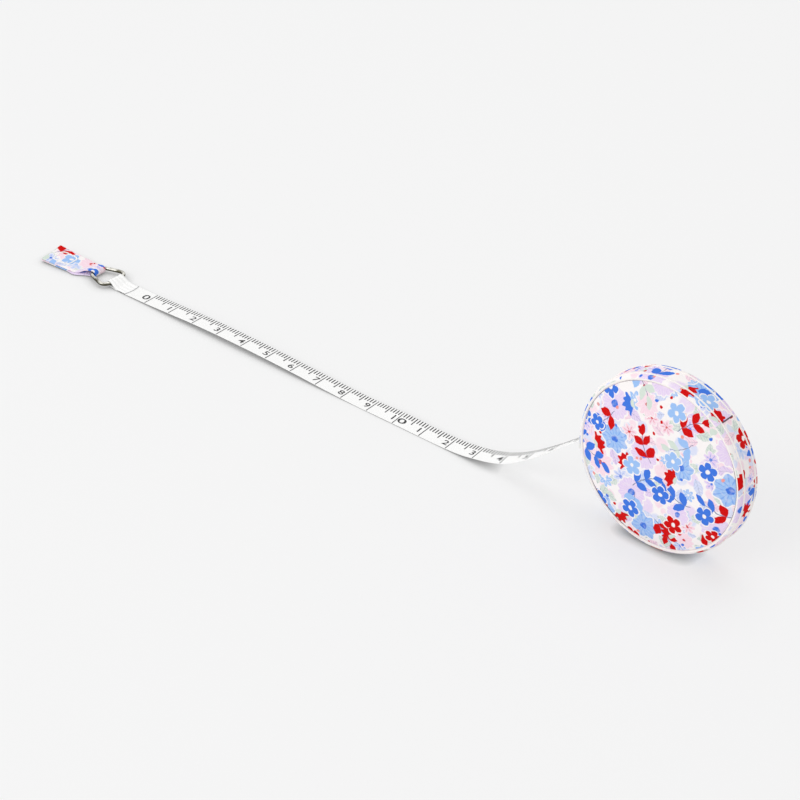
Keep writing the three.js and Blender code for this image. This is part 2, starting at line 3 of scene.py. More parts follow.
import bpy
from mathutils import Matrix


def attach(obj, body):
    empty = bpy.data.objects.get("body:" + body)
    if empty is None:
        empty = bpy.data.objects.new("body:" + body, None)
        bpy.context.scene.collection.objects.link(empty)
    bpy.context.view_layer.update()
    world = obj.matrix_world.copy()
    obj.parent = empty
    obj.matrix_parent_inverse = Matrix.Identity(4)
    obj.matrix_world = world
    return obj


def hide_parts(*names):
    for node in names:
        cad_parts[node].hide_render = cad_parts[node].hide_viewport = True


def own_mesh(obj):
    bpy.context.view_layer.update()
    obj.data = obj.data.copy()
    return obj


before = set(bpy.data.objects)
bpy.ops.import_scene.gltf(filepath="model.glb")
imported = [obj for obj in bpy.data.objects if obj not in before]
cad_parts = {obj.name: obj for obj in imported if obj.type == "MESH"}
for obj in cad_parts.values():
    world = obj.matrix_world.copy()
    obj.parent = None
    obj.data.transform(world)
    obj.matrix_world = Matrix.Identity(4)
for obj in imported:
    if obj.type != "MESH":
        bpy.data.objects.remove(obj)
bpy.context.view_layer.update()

import logging
import math
from bisect import bisect_right
from dataclasses import dataclass, replace
from enum import Enum
from itertools import accumulate
from typing import Any, Callable, ClassVar, Mapping, Optional, Sequence, Union

import bpy
from mathutils import Matrix, Vector, noise

LOG = logging.getLogger("tape_measure")

MM = 0.001
TURN = 2.0 * math.pi
AXIS_HEIGHT = 27.2
MAP_SPAN = 200.0
UP = Vector((0.0, 0.0, 1.0))

Point = tuple[float, float]
Place = tuple[float, float, float]
Colour = tuple[float, float, float, float]
Number = Union[int, float, "Value"]
Inputs = dict[str, Any]
Rows = list[list[Vector]]
Piece = bpy.types.Object


def ink(red: int, green: int, blue: int) -> Colour:
    """Turns a printed colour in 8-bit steps into the shader's linear colour."""
    steps = [step / 255.0 for step in (red, green, blue)]
    return (*[s / 12.92 if s <= 0.04045 else ((s + 0.055) / 1.055) ** 2.4 for s in steps], 1.0)


def dimmed(colour: Colour, share: float) -> Colour:
    """Darkens a colour to a share of itself."""
    return (*[share * part for part in colour[:3]], 1.0)


def eased(share: float) -> float:
    """Runs smoothly from 0 to 1 as share does, level at both ends."""
    share = min(1.0, max(0.0, share))
    return share * share * (3.0 - 2.0 * share)


def spread(count: int) -> list[float]:
    """Even places from -1 to 1."""
    return [-1.0 + 2.0 * k / (count - 1) for k in range(count)]


def headings(line: Sequence[Vector]) -> list[Vector]:
    """Directions of a line at each of its points."""
    ends = zip([line[0], *line], [*line[1:], line[-1]])
    return [(after - before).normalized() for before, after in ends]


def distances(line: Sequence[Vector]) -> list[float]:
    """Distances of a line's points from its start, measured along it."""
    return [0.0, *accumulate((after - before).length for before, after in zip(line, line[1:]))]


def oval(middle: Vector, side: Vector, up: Vector, count: int) -> list[Vector]:
    """Corners of an oval section about a middle, with its two half axes."""
    turns = [TURN * k / count for k in range(count)]
    return [middle + side * math.cos(turn) + up * math.sin(turn) for turn in turns]


def round_bar(bar: Point, radius: float, start: float, sweep: float) -> list[Point]:
    """Places along an arc about a bar, with its angles in degrees."""
    turns = [math.radians(start + sweep * k / 12.0) for k in range(13)]
    return [(bar[0] + radius * math.cos(t), bar[1] + radius * math.sin(t)) for t in turns]


def polar(corner: Vector) -> Point:
    """A corner's distance from the case's axis and its angle about it, in radians."""
    across, up = corner.x, corner.z - AXIS_HEIGHT
    return math.hypot(across, up), math.atan2(up, across)


def outward(corner: Vector, step: float) -> Vector:
    """Moves a corner away from the case's axis."""
    return corner + Vector((corner.x, 0.0, corner.z - AXIS_HEIGHT)).normalized() * step


def curve(points: Sequence[Vector], count: int) -> list[Vector]:
    """Passes a smooth curve through all points.

    Args:
        points: the route.
        count: steps between two of its points.

    Returns:
        Points close together along the curve.
    """
    padded = [2.0 * points[0] - points[1], *points, 2.0 * points[-1] - points[-2]]
    line = []
    for a, b, c, d in zip(padded, padded[1:], padded[2:], padded[3:]):
        gaps = [math.sqrt((after - before).length) for before, after in ((a, b), (b, c), (c, d))]
        k1, k2, k3 = accumulate(gaps)
        for step in range(count):
            t = k1 + (k2 - k1) * step / count
            share = (t - k1) / (k2 - k1)
            ab, bc, cd = a.lerp(b, t / k1), b.lerp(c, share), c.lerp(d, (t - k2) / (k3 - k2))
            abc, bcd = ab.lerp(bc, t / k2), bc.lerp(cd, (t - k1) / (k3 - k1))
            line.append(abc.lerp(bcd, share))
    return [*line, points[-1].copy()]


class Value:
    """One shader socket that takes part in Python arithmetic."""

    def __init__(self, graph: "Graph", socket: Optional[bpy.types.NodeSocket]) -> None:
        """Keeps the socket and the graph that new nodes go into."""
        self.graph = graph
        self.socket = socket

    def sibling(self, output: str) -> "Value":
        """Gives another output of the node that this value comes from."""
        return Value(self.graph, self.socket.node.outputs[output])

    def maths(self, operation: str, *values: Number, clamp: bool = False) -> "Value":
        """Adds one Math node of an operation, held between 0 and 1 if clamp is set."""
        settings = {"operation": operation, "use_clamp": clamp}
        return self.graph.node("ShaderNodeMath", settings, dict(enumerate(values)))

    def __add__(self, other: Number) -> "Value":
        """Adds."""
        return self.maths("ADD", self, other)

    __radd__ = __add__

    def __sub__(self, other: Number) -> "Value":
        """Takes other from this."""
        return self.maths("SUBTRACT", self, other)

    def __rsub__(self, other: Number) -> "Value":
        """Takes this from other."""
        return self.maths("SUBTRACT", other, self)

    def __mul__(self, other: Number) -> "Value":
        """Multiplies."""
        return self.maths("MULTIPLY", self, other)

    __rmul__ = __mul__

    def __truediv__(self, other: Number) -> "Value":
        """Divides this by other."""
        return self.maths("DIVIDE", self, other)

    def __rtruediv__(self, other: Number) -> "Value":
        """Divides other by this."""
        return self.maths("DIVIDE", other, self)

    def __pow__(self, power: Number) -> "Value":
        """Raises this to a power."""
        return self.maths("POWER", self, power)

    def __abs__(self) -> "Value":
        """Drops the sign."""
        return self.maths("ABSOLUTE", self)

    def sine(self) -> "Value":
        """Sine of an angle in radians."""
        return self.maths("SINE", self)

    def cosine(self) -> "Value":
        """Cosine of an angle in radians."""
        return self.maths("COSINE", self)

    def larger(self, other: Number) -> "Value":
        """The larger of the two."""
        return self.maths("MAXIMUM", self, other)

    def smaller(self, other: Number) -> "Value":
        """The smaller of the two."""
        return self.maths("MINIMUM", self, other)

    def above(self, edge: Number, blur: float) -> "Value":
        """A mask that is 1 where this lies over edge, with an edge that is blur wide."""
        return self.maths("ADD", (self - edge) / blur, 0.5, clamp=True)

    def below(self, edge: Number, blur: float) -> "Value":
        """A mask that is 1 where this lies under edge, with an edge that is blur wide."""
        return self.maths("ADD", (edge - self) / blur, 0.5, clamp=True)


class Graph:
    """A node tree that is filled from Python expressions."""

    # Sockets of a Mix node for colours: its share, its two colours and its result.
    SHARE, LOW, HIGH, MIXED = 0, 6, 7, 2

    def __init__(self, tree: bpy.types.NodeTree) -> None:
        """Starts from an empty tree."""
        self.tree = tree
        tree.nodes.clear()

    def node(
        self,
        kind: str,
        settings: Mapping[str, Any],
        inputs: Mapping[Union[int, str], Any],
        output: Union[int, str] = 0,
    ) -> Value:
        """Adds a node of any kind.

        Args:
            kind: the node's type.
            settings: its properties, set first.
            inputs: values or links of its sockets, by name or place.
            output: the socket to give back, by name or place.

        Returns:
            That output.
        """
        made = self.tree.nodes.new(kind)
        for key, setting in settings.items():
            setattr(made, key, setting)
        for key, given in inputs.items():
            if isinstance(given, Value):
                self.tree.links.new(given.socket, made.inputs[key])
            else:
                made.inputs[key].default_value = given
        return Value(self, made.outputs[output] if len(made.outputs) else None)

    def mix(self, share: Number, low: Any, high: Any) -> Value:
        """Mixes two colours.

        Args:
            share: how much of the second colour is in it, held between 0 and 1.
            low: the first colour.
            high: the second colour.

        Returns:
            The mixed colour.
        """
        settings = {"data_type": "RGBA", "clamp_factor": True}
        inputs = {self.SHARE: share, self.LOW: low, self.HIGH: high}
        return self.node("ShaderNodeMix", settings, inputs, self.MIXED)

    def choice(self, pick: Value, colours: Sequence[Colour]) -> Value:
        """Picks one of several colours.

        Args:
            pick: a random value from 0 to 1.
            colours: two colours or more, with an equal share of the values each.

        Returns:
            The colour.
        """
        picked = self.node("ShaderNodeValToRGB", {}, {0: pick})
        ramp = picked.socket.node.color_ramp
        ramp.interpolation = "CONSTANT"
        for place, colour in enumerate(colours):
            start = place / len(colours)
            stop = ramp.elements[place] if place < 2 else ramp.elements.new(start)
            stop.position, stop.color = start, colour
        return picked

    def vector(self, operation: str, *vectors: Any) -> Value:
        """Adds one Vector Math node."""
        return self.node("ShaderNodeVectorMath", {"operation": operation}, dict(enumerate(vectors)))

    def parts(self, vector: Value) -> tuple[Value, Value, Value]:
        """Splits a vector into its three numbers."""
        first = self.node("ShaderNodeSeparateXYZ", {}, {0: vector}, "X")
        return first, first.sibling("Y"), first.sibling("Z")

    def joined(self, x: Number, y: Number) -> Value:
        """Makes a flat vector of two numbers."""
        return self.node("ShaderNodeCombineXYZ", {}, {0: x, 1: y, 2: 0.0})

    def place(self, output: str = "Object") -> Value:
        """The piece's own coordinates."""
        return self.node("ShaderNodeTexCoord", {}, {}, output)

    def grain(self, scale: float, detail: float = 2.0, place: Optional[Value] = None) -> Value:
        """Soft random values with about scale blobs to each metre, or unit of a given place."""
        inputs = {"Vector": place or self.place(), "Scale": scale, "Detail": detail}
        return self.node("ShaderNodeTexNoise", {}, inputs, "Fac")

    def weave(self, place: Value, thread: float) -> Value:
        """Heights from 0 to 1 of a plain weave, with its place and thread in millimetres."""
        waves = [(part * (math.pi / thread)).sine() for part in self.parts(place)[:2]]
        return waves[0] * waves[1] * 0.5 + 0.5

    def bump(self, height: Value, strength: float, depth: float) -> Value:
        """Turns heights from 0 to 1 into a normal, with depth in metres."""
        inputs = {"Strength": strength, "Distance": depth, "Height": height}
        return self.node("ShaderNodeBump", {}, inputs)


class PrintMap(Enum):
    """Where a cloth piece's print takes its place from."""

    FACE = "face"
    STRIP = "strip"


@dataclass(frozen=True)
class Motif:
    """Each copy of one scattered motif, seen from its own middle, in millimetres."""

    x: Value
    y: Value
    reach: Value
    pick: Value
    here: Number

    def distance(self) -> Value:
        """Distance from the middle."""
        return (self.x * self.x + self.y * self.y) ** 0.5

    def angle(self) -> Value:
        """Direction from the middle, in radians."""
        return self.x.maths("ARCTAN2", self.y, self.x)

    def leaf(self, root: float, slant: float, size: Point, both: bool = False) -> Value:
        """An almond leaf that grows from the motif's middle line.

        Args:
            root: where it starts along the line.
            slant: its angle to the line, in degrees.
            size: its length and half width.
            both: whether a second leaf grows on the other side.

        Returns:
            Its mask.
        """
        side = abs(self.y) if both else self.y
        along = self.x - root
        cos, sin = math.cos(math.radians(slant)), math.sin(math.radians(slant))
        far = (along * cos + side * sin) / size[0]
        swell = far * (1.0 - far) * (4.0 * size[1])
        return swell.above(abs(side * cos - along * sin), 0.16)


class FloralPrint:
    """A close-set garden print of simple blossoms, sprigs, leaves and berries."""

    GROUND = ink(252, 247, 246)
    CORNFLOWER = ink(66, 122, 226)
    SKY = ink(160, 197, 246)
    MIST = ink(213, 221, 248)
    LILAC = ink(232, 212, 244)
    PINK = ink(251, 219, 232)
    CORAL = ink(248, 160, 152)
    RED = ink(212, 4, 0)
    SAGE = ink(216, 228, 218)
    STEM = ink(122, 132, 165)

    def __init__(self, graph: Graph, place: Value) -> None:
        """Starts from the bare ground, with a painter's uneven hand.

        Args:
            graph: the material's node tree.
            place: the cloth's coordinates in millimetres.
        """
        noisy = {"Vector": place, "Scale": 0.55, "Detail": 3.0}
        shake = graph.node("ShaderNodeTexNoise", {}, noisy, "Color")
        shake = graph.vector("SUBTRACT", shake, (0.5, 0.5, 0.5))
        shake = graph.vector("MULTIPLY", shake, (1.1, 1.1, 0.0))
        self.graph = graph
        self.place = graph.vector("ADD", place, shake)
        self.cloth: Union[Colour, Value] = self.GROUND

    def scatter(self, pitch: float, jitter: float, shift: Point, bare: float = 0.0) -> Motif:
        """Strews copies of a motif over the cloth, each turned its own way.

        Args:
            pitch: the usual distance between copies.
            jitter: how far they stray from an even grid, from 0 to 1.
            shift: moves this layer against the others.
            bare: the share of copies that are left out.

        Returns:
            The copy that each place on the cloth belongs to.
        """
        graph = self.graph
        moved = graph.vector("ADD", self.place, (*shift, 0.0))
        cells = {"Vector": moved, "Scale": 1.0 / pitch, "Randomness": jitter}
        flat = {"voronoi_dimensions": "2D", "feature": "F1"}
        middle = graph.node("ShaderNodeTexVoronoi", flat, cells, "Position")
        wide = {"voronoi_dimensions": "2D", "feature": "N_SPHERE_RADIUS"}
        reach = graph.node("ShaderNodeTexVoronoi", wide, cells, "Radius") * pitch
        first = graph.node("ShaderNodeSeparateColor", {}, {0: middle.sibling("Color")}, "Red")
        turn = {"Vector": graph.vector("SUBTRACT", moved, middle), "Angle": first * TURN}
        turned = graph.node("ShaderNodeVectorRotate", {"rotation_type": "Z_AXIS"}, turn)
        x, y, _ = graph.parts(turned)
        here = first.sibling("Blue").above(bare, 0.01) if bare else 1.0
        return Motif(x, y, reach, first.sibling("Green"), here)

    def lay(self, motif: Motif, mask: Value, *dyes: Colour) -> None:
        """Prints a mask of a motif's copies in one colour, or in several that they pick from."""
        dye = self.graph.choice(motif.pick, dyes) if len(dyes) > 1 else dyes[0]
        self.cloth = self.graph.mix(mask * motif.here, self.cloth, dye)

    def patches(self) -> None:
        """Lays soft washes of pale colour on the ground."""
        motif = self.scatter(5.2, 0.9, (5.5, -11.3))
        mask = (motif.distance() / motif.reach).below(1.15, 0.35) * 0.8
        self.lay(motif, mask, self.PINK, self.MIST, self.GROUND, self.LILAC, self.PINK, self.MIST)

    def leaves(self) -> None:
        """Lays pale veined leaves over the ground."""
        motif = self.scatter(5.6, 0.8, (3.1, 1.7), 0.1)
        shape = motif.leaf(-2.7, 0.0, (5.4, 1.55))
        rib = abs(motif.y).below(0.1, 0.14)
        ribs = ((motif.x - abs(motif.y) * 0.8) * (TURN / 0.95)).cosine().above(0.8, 0.3)
        self.lay(motif, shape, self.SAGE, self.MIST, self.SAGE, self.PINK, self.LILAC)
        self.lay(motif, shape * rib.larger(ribs * 0.7) * 0.4, self.STEM)

    def posies(self) -> None:
        """Lays middling pale flowers with pointed petals and a dotted heart."""
        motif = self.scatter(7.2, 0.75, (-9.4, 2.6), 0.3)
        hearts = (self.CORNFLOWER, self.RED, self.SKY, self.CORNFLOWER, self.GROUND)
        span = motif.distance() / motif.reach.smaller(3.0)
        wave = abs((motif.angle() * 3.5).cosine())
        edge = wave * 0.42 + 0.5
        shape = span.below(edge, 0.05)
        self.lay(motif, span.below(edge + 0.1, 0.05), self.GROUND)
        self.lay(motif, shape, self.MIST, self.PINK, self.MIST, self.LILAC, self.SKY)
        self.lay(motif, shape * wave.above(0.93, 0.1) * span.below(0.6, 0.2) * 0.55, *hearts)
        self.lay(motif, shape * span.below(0.16, 0.06), *hearts)

    def blossoms(self) -> None:
        """Lays the large pale blossoms, each in a narrow margin of bare ground."""
        motif = self.scatter(12.4, 0.55, (7.7, -2.9), 0.1)
        share, angle = motif.distance() / motif.reach, motif.angle()
        many, broad = motif.pick.above(0.34, 0.001), motif.pick.above(0.67, 0.001)
        petals = 14.0 - many * 7.0 + broad * 3.0
        depth = many * 0.05 + 0.05
        edge = 0.9 - depth + (petals * angle).cosine() * depth
        shape = share.below(edge, 0.03)
        veins = (petals * angle * 2.0).cosine().above(0.75, 0.5) * share.above(0.25, 0.1)
        heart = share.below(0.21 - broad * 0.07, 0.04)
        self.lay(motif, share.below(edge + 0.08, 0.03), self.GROUND)
        self.lay(motif, shape, self.LILAC, self.SKY, self.PINK)
        self.lay(motif, shape * veins * 0.4, self.GROUND, self.CORNFLOWER, self.GROUND)
        self.lay(motif, shape * heart, self.CORNFLOWER, self.CORNFLOWER, self.RED)

    def berries(self) -> None:
        """Lays a few berries and dots in what room is left."""
        motif = self.scatter(4.1, 0.9, (0.9, 3.3), 0.72)
        self.lay(motif, motif.distance().below(0.5, 0.16), self.RED, self.CORNFLOWER, self.CORAL)

    def sprigs(self) -> None:
        """Lays thin stems with paired almond leaves."""
        motif = self.scatter(12.6, 0.5, (-4.3, 6.2), 0.08)
        bent = replace(motif, y=motif.y + motif.x * motif.x * 0.04 - 0.45)
        stem = abs(bent.y).below(0.11, 0.13) * abs(bent.x).below(5.2, 0.2)
        lower = bent.leaf(-3.5, 50.0, (4.4, 1.25), both=True)
        tip = bent.leaf(3.0, 0.0, (3.8, 1.1))
        upper = bent.leaf(0.3, 46.0, (3.9, 1.1), both=True).larger(tip)
        self.lay(motif, stem, self.STEM)
        self.lay(motif, lower, self.RED, self.CORNFLOWER, self.RED, self.SKY)
        self.lay(motif, upper, self.RED, self.CORNFLOWER, self.CORNFLOWER, self.SAGE)

    def fans(self) -> None:
        """Lays red carnation heads with a toothed rim, seen from the side."""
        motif = self.scatter(15.5, 0.5, (12.3, 8.8), 0.3)
        share, angle = motif.distance() / 4.4, abs(motif.angle())
        teeth = (angle * 13.0).cosine() * 0.09 + (angle * 4.0).cosine() * 0.05
        head = share.below(teeth + 0.86, 0.04) * angle.below(share * 0.15 + 0.95, 0.06)
        self.lay(motif, head, self.RED, self.RED, self.CORNFLOWER)
        self.lay(motif, share.below(0.3, 0.05) * angle.below(1.5, 0.1), self.SAGE)

    def florets(self) -> None:
        """Lays small crisp five-petalled flowers."""
        motif = self.scatter(11.2, 0.65, (-1.6, -7.4), 0.4)
        span = motif.distance() / motif.reach.smaller(3.2)
        edge = abs((motif.angle() * 2.5).cosine()) ** 0.45 * 0.5 + 0.42
        dyes = (self.CORNFLOWER, self.SKY, self.CORNFLOWER, self.RED, self.SKY)
        self.lay(motif, span.below(edge + 0.12, 0.05), self.GROUND)
        self.lay(motif, span.below(edge, 0.06), *dyes)
        self.lay(motif, span.below(0.2, 0.06), self.GROUND)

    def colour(self) -> Value:
        """Lays all the motifs on the ground, the lowest first.

        Returns:
            The printed colour.
        """
        for layer in (self.patches, self.leaves, self.posies, self.blossoms):
            layer()
        wash = (self.graph.grain(0.8, 4.0, self.place) - 0.45).larger(0.0) * 1.2
        self.cloth = self.graph.mix(wash, self.cloth, self.GROUND)
        for layer in (self.berries, self.sprigs, self.fans, self.florets):
            layer()
        return self.cloth


@dataclass(frozen=True)
class Finish:
    """A procedural finish that becomes one material."""

    name: str
    roughness: float

    def inputs(self, graph: Graph) -> Inputs:
        """Gives the surface shader's sockets with their values or links."""
        raise NotImplementedError

    def coat(self, colour: Value, wear: Value, normal: Optional[Value] = None) -> Inputs:
        """Gathers a base colour, what is added to the roughness and a bump, if there is one."""
        made = {"Base Color": colour, "Roughness": self.roughness + wear}
        return made if normal is None else {**made, "Normal": normal}

    def material(self) -> bpy.types.Material:
        """Makes the material, or finds it if it is already made.

        Returns:
            The material.
        """
        found = bpy.data.materials.get(self.name)
        if found is not None:
            return found
        made = bpy.data.materials.new(self.name)
        made.use_nodes = True
        graph = Graph(made.node_tree)
        surface = graph.node("ShaderNodeBsdfPrincipled", {}, self.inputs(graph))
        graph.node("ShaderNodeOutputMaterial", {}, {"Surface": surface})
        return made

    def put_on(self, piece: Piece) -> None:
        """Makes this the piece's only finish."""
        piece.data.materials.clear()
        piece.data.materials.append(self.material())


@dataclass(frozen=True)
class PrintedCloth(Finish):
    """Printed cotton with a fine plain weave."""

    layout: PrintMap = PrintMap.FACE
    thread: float = 0.3
    start: Point = (0.0, 0.0)

    def inputs(self, graph: Graph) -> Inputs:
        """Gives the cloth's print, its weave with painted shade between the threads, and soft
        sheen.

        Args:
            graph: the material's node tree.

        Returns:
            Socket names with their values or links.
        """
        if self.layout is PrintMap.FACE:
            x, _, z = graph.parts(graph.place())
            across, up = x / MM, z / MM
        else:
            u, v, _ = graph.parts(graph.place("UV"))
            across, up = u * MAP_SPAN, v * MAP_SPAN
        place = graph.joined(across + self.start[0], up + self.start[1])
        threads = graph.weave(place, self.thread)
        slub = graph.grain(0.9, 2.0, place)
        fleck = (graph.grain(2.4, 3.0, place) - 0.5).larger(0.0) * 0.1
        dye = graph.mix(fleck, FloralPrint(graph, place).colour(), FloralPrint.GROUND)
        # Painted shade in the hollows between threads, plus random slub tone.
        shade = graph.mix((1.0 - threads) * 0.03 + slub * 0.02, dye, ink(110, 104, 118))
        normal = graph.bump(threads * 0.7 + slub * 0.3, 0.35, 0.00006)
        return {**self.coat(shade, slub * 0.1, normal), "Specular IOR Level": 0.05}


@dataclass(frozen=True)
class PlainCloth(Finish):
    """Undyed cotton, twisted into piping or thread."""

    dye: Colour = ink(252, 247, 243)
    twist: float = 0.55

    def inputs(self, graph: Graph) -> Inputs:
        """Gives slanting threads with painted shade in the hollows between them, and a little
        unevenness.

        Args:
            graph: the material's node tree.

        Returns:
            Socket names with their links.
        """
        x, y, z = graph.parts(graph.place())
        wave = ((x + y * 2.0 + z) * (TURN / (self.twist * MM))).sine() * 0.5 + 0.5
        fluff = graph.grain(2600.0)
        # Painted shade in the hollows of the twist, plus random fluff tone.
        shade = graph.mix((1.0 - wave) * 0.12 + fluff * 0.08, self.dye, dimmed(self.dye, 0.72))
        return self.coat(shade, fluff * 0.1, graph.bump(wave * 0.6 + fluff * 0.4, 0.4, 0.00008))


@dataclass(frozen=True)
class PaintedSeamShadow(Finish):
    """Dark ring in the seam, a painted shadow that lies deep in places and fades pale in others."""

    # deep is the painted shadow colour; pale is where that shadow fades out.
    deep: Colour = ink(58, 48, 66)
    pale: Colour = ink(226, 214, 214)

    def inputs(self, graph: Graph) -> Inputs:
        """Gives a painted shadow line that comes and goes along the seam.

        Args:
            graph: the material's node tree.

        Returns:
            Socket names with their links.
        """
        reach, pull = graph.grain(48.0), graph.grain(900.0)
        shown = (reach - 0.46) * 7.0 + (pull - 0.5) * 0.8 + 0.5
        return self.coat(graph.mix(shown, self.deep, self.pale), pull * 0.1)


@dataclass(frozen=True)
class CoatedTape(Finish):
    """White coated glass cloth with a satin face."""

    dye: Colour = ink(252, 252, 251)

    def inputs(self, graph: Graph) -> Inputs:
        """Gives the fine weave that shows through the coat.

        Args:
            graph: the material's node tree.

        Returns:
            Socket names with their links.
        """
        x, y, _ = graph.parts(graph.place())
        threads = graph.weave(graph.joined(x / MM, y / MM), 0.22)
        haze = graph.grain(900.0)
        shade = graph.mix(haze * 0.06 + threads * 0.03, self.dye, ink(214, 214, 216))
        return self.coat(shade, haze * 0.12, graph.bump(threads, 0.25, 0.00003))


@dataclass(frozen=True)
class PrintInk(Finish):
    """Dark ink of the tape's scale."""

    dye: Colour = ink(20, 20, 22)

    def inputs(self, graph: Graph) -> Inputs:
        """Gives ink that lies a little unevenly."""
        patch = graph.grain(4200.0)
        return self.coat(graph.mix(patch * 0.3, self.dye, ink(66, 66, 70)), patch * 0.15)


@dataclass(frozen=True)
class Metal(Finish):
    """Plated or rolled steel with fine drawing marks."""

    plate: Colour = ink(214, 211, 203)
    marks: float = 0.08

    def inputs(self, graph: Graph) -> Inputs:
        """Gives shiny metal with small patches of painted dark reflection.

        Args:
            graph: the material's node tree.

        Returns:
            Socket names with their values or links.
        """
        patch = graph.grain(700.0, 4.0)
        # Noise patches darken the plate as painted dark reflections.
        shade = graph.mix(patch * 0.5, self.plate, dimmed(self.plate, 0.6))
        normal = graph.bump(graph.grain(6000.0), 0.08, 0.00002)
        return {**self.coat(shade, patch * self.marks, normal), "Metallic": 1.0}


@dataclass(frozen=True)
class NickelWire(Finish):
    """Nickel wire with a painted highlight on top and painted dark reflections low on its sides."""

    painted_highlight: Colour = ink(236, 234, 226)
    painted_dark_reflection: Colour = ink(76, 73, 58)
    crown: float = 2.1
    girth: float = 0.55

    def inputs(self, graph: Graph) -> Inputs:
        """Gives plating with a painted highlight on top and painted olive reflections at the sides.

        Args:
            graph: the material's node tree.

        Returns:
            Socket names with their values or links.
        """
        height, patch = graph.parts(graph.place())[2], graph.grain(520.0)
        # Painted reflection: highlight above the crown height, dark olive reflection lower on the
        # sides, broken up by noise patches.
        rise = (height / MM - self.crown) / self.girth + 1.0 + (patch - 0.5) * 2.6
        shade = graph.mix(rise, self.painted_dark_reflection, self.painted_highlight)
        return {**self.coat(shade, patch * 0.08), "Metallic": 1.0}


@dataclass(frozen=True)
class Moulded(Finish):
    """Moulded plastic, foam or rubber with a fine matt texture."""

    dye: Colour = ink(236, 236, 232)
    texture: float = 3000.0

    def inputs(self, graph: Graph) -> Inputs:
        """Gives the mould's texture and slight clouding.

        Args:
            graph: the material's node tree.

        Returns:
            Socket names with their links.
        """
        cloud, fine = graph.grain(160.0), graph.grain(self.texture)
        shade = graph.mix(cloud * 0.3, self.dye, dimmed(self.dye, 0.85))
        return self.coat(shade, fine * 0.1, graph.bump(fine, 0.15, 0.00003))


FACE_CLOTH = PrintedCloth("printed cotton face", 0.82)
REAR_CLOTH = PrintedCloth("printed cotton back", 0.82, start=(61.0, 17.0))
BAND_CLOTH = PrintedCloth("printed cotton band", 0.82, PrintMap.STRIP, start=(23.0, 44.0))
TAB_CLOTH = PrintedCloth("printed cotton tab", 0.82, PrintMap.STRIP, start=(9.0, 80.0))
PIPING = PlainCloth("cream piping", 0.8)
TUCK_CLOTH = PlainCloth("cream tuck", 0.8, twist=0.4)
# Painted shadow ring in the seam between each face and its piping.
SEAM_SHADOW = PaintedSeamShadow("painted seam shadow", 0.85)
# Dark colour of the lap's sewn line: painted shadow along the lapped edge.
LAP_THREAD_SHADOW = PlainCloth("lap thread with painted shadow", 0.85, ink(96, 84, 92), 0.5)
SEWING_THREAD = PlainCloth("white sewing thread", 0.7, ink(255, 253, 250), 0.3)
TAPE_COAT = CoatedTape("coated white tape", 0.42)
SCALE_INK = PrintInk("scale ink", 0.24)
NICKEL = Metal("nickel plate", 0.18, ink(205, 202, 192), 0.1)
NICKEL_WIRE = NickelWire("nickel wire", 0.14)
# Grey colour of the fold's cut edge: painted shadow along that edge.
RAW_EDGE_SHADOW = PlainCloth("raw tape edge with painted shadow", 0.8, ink(186, 186, 188), 0.3)
SPRING_STEEL = Metal("spring steel", 0.32, ink(150, 154, 160))
WHITE_PLASTIC = Moulded("white moulding", 0.45)
GREY_PLASTIC = Moulded("grey moulding", 0.45, ink(160, 166, 172))
WADDING = Moulded("foam wadding", 0.95, ink(232, 226, 208), 1400.0)
BRAKE_RUBBER = Moulded("brake rubber", 0.9, ink(48, 48, 50))


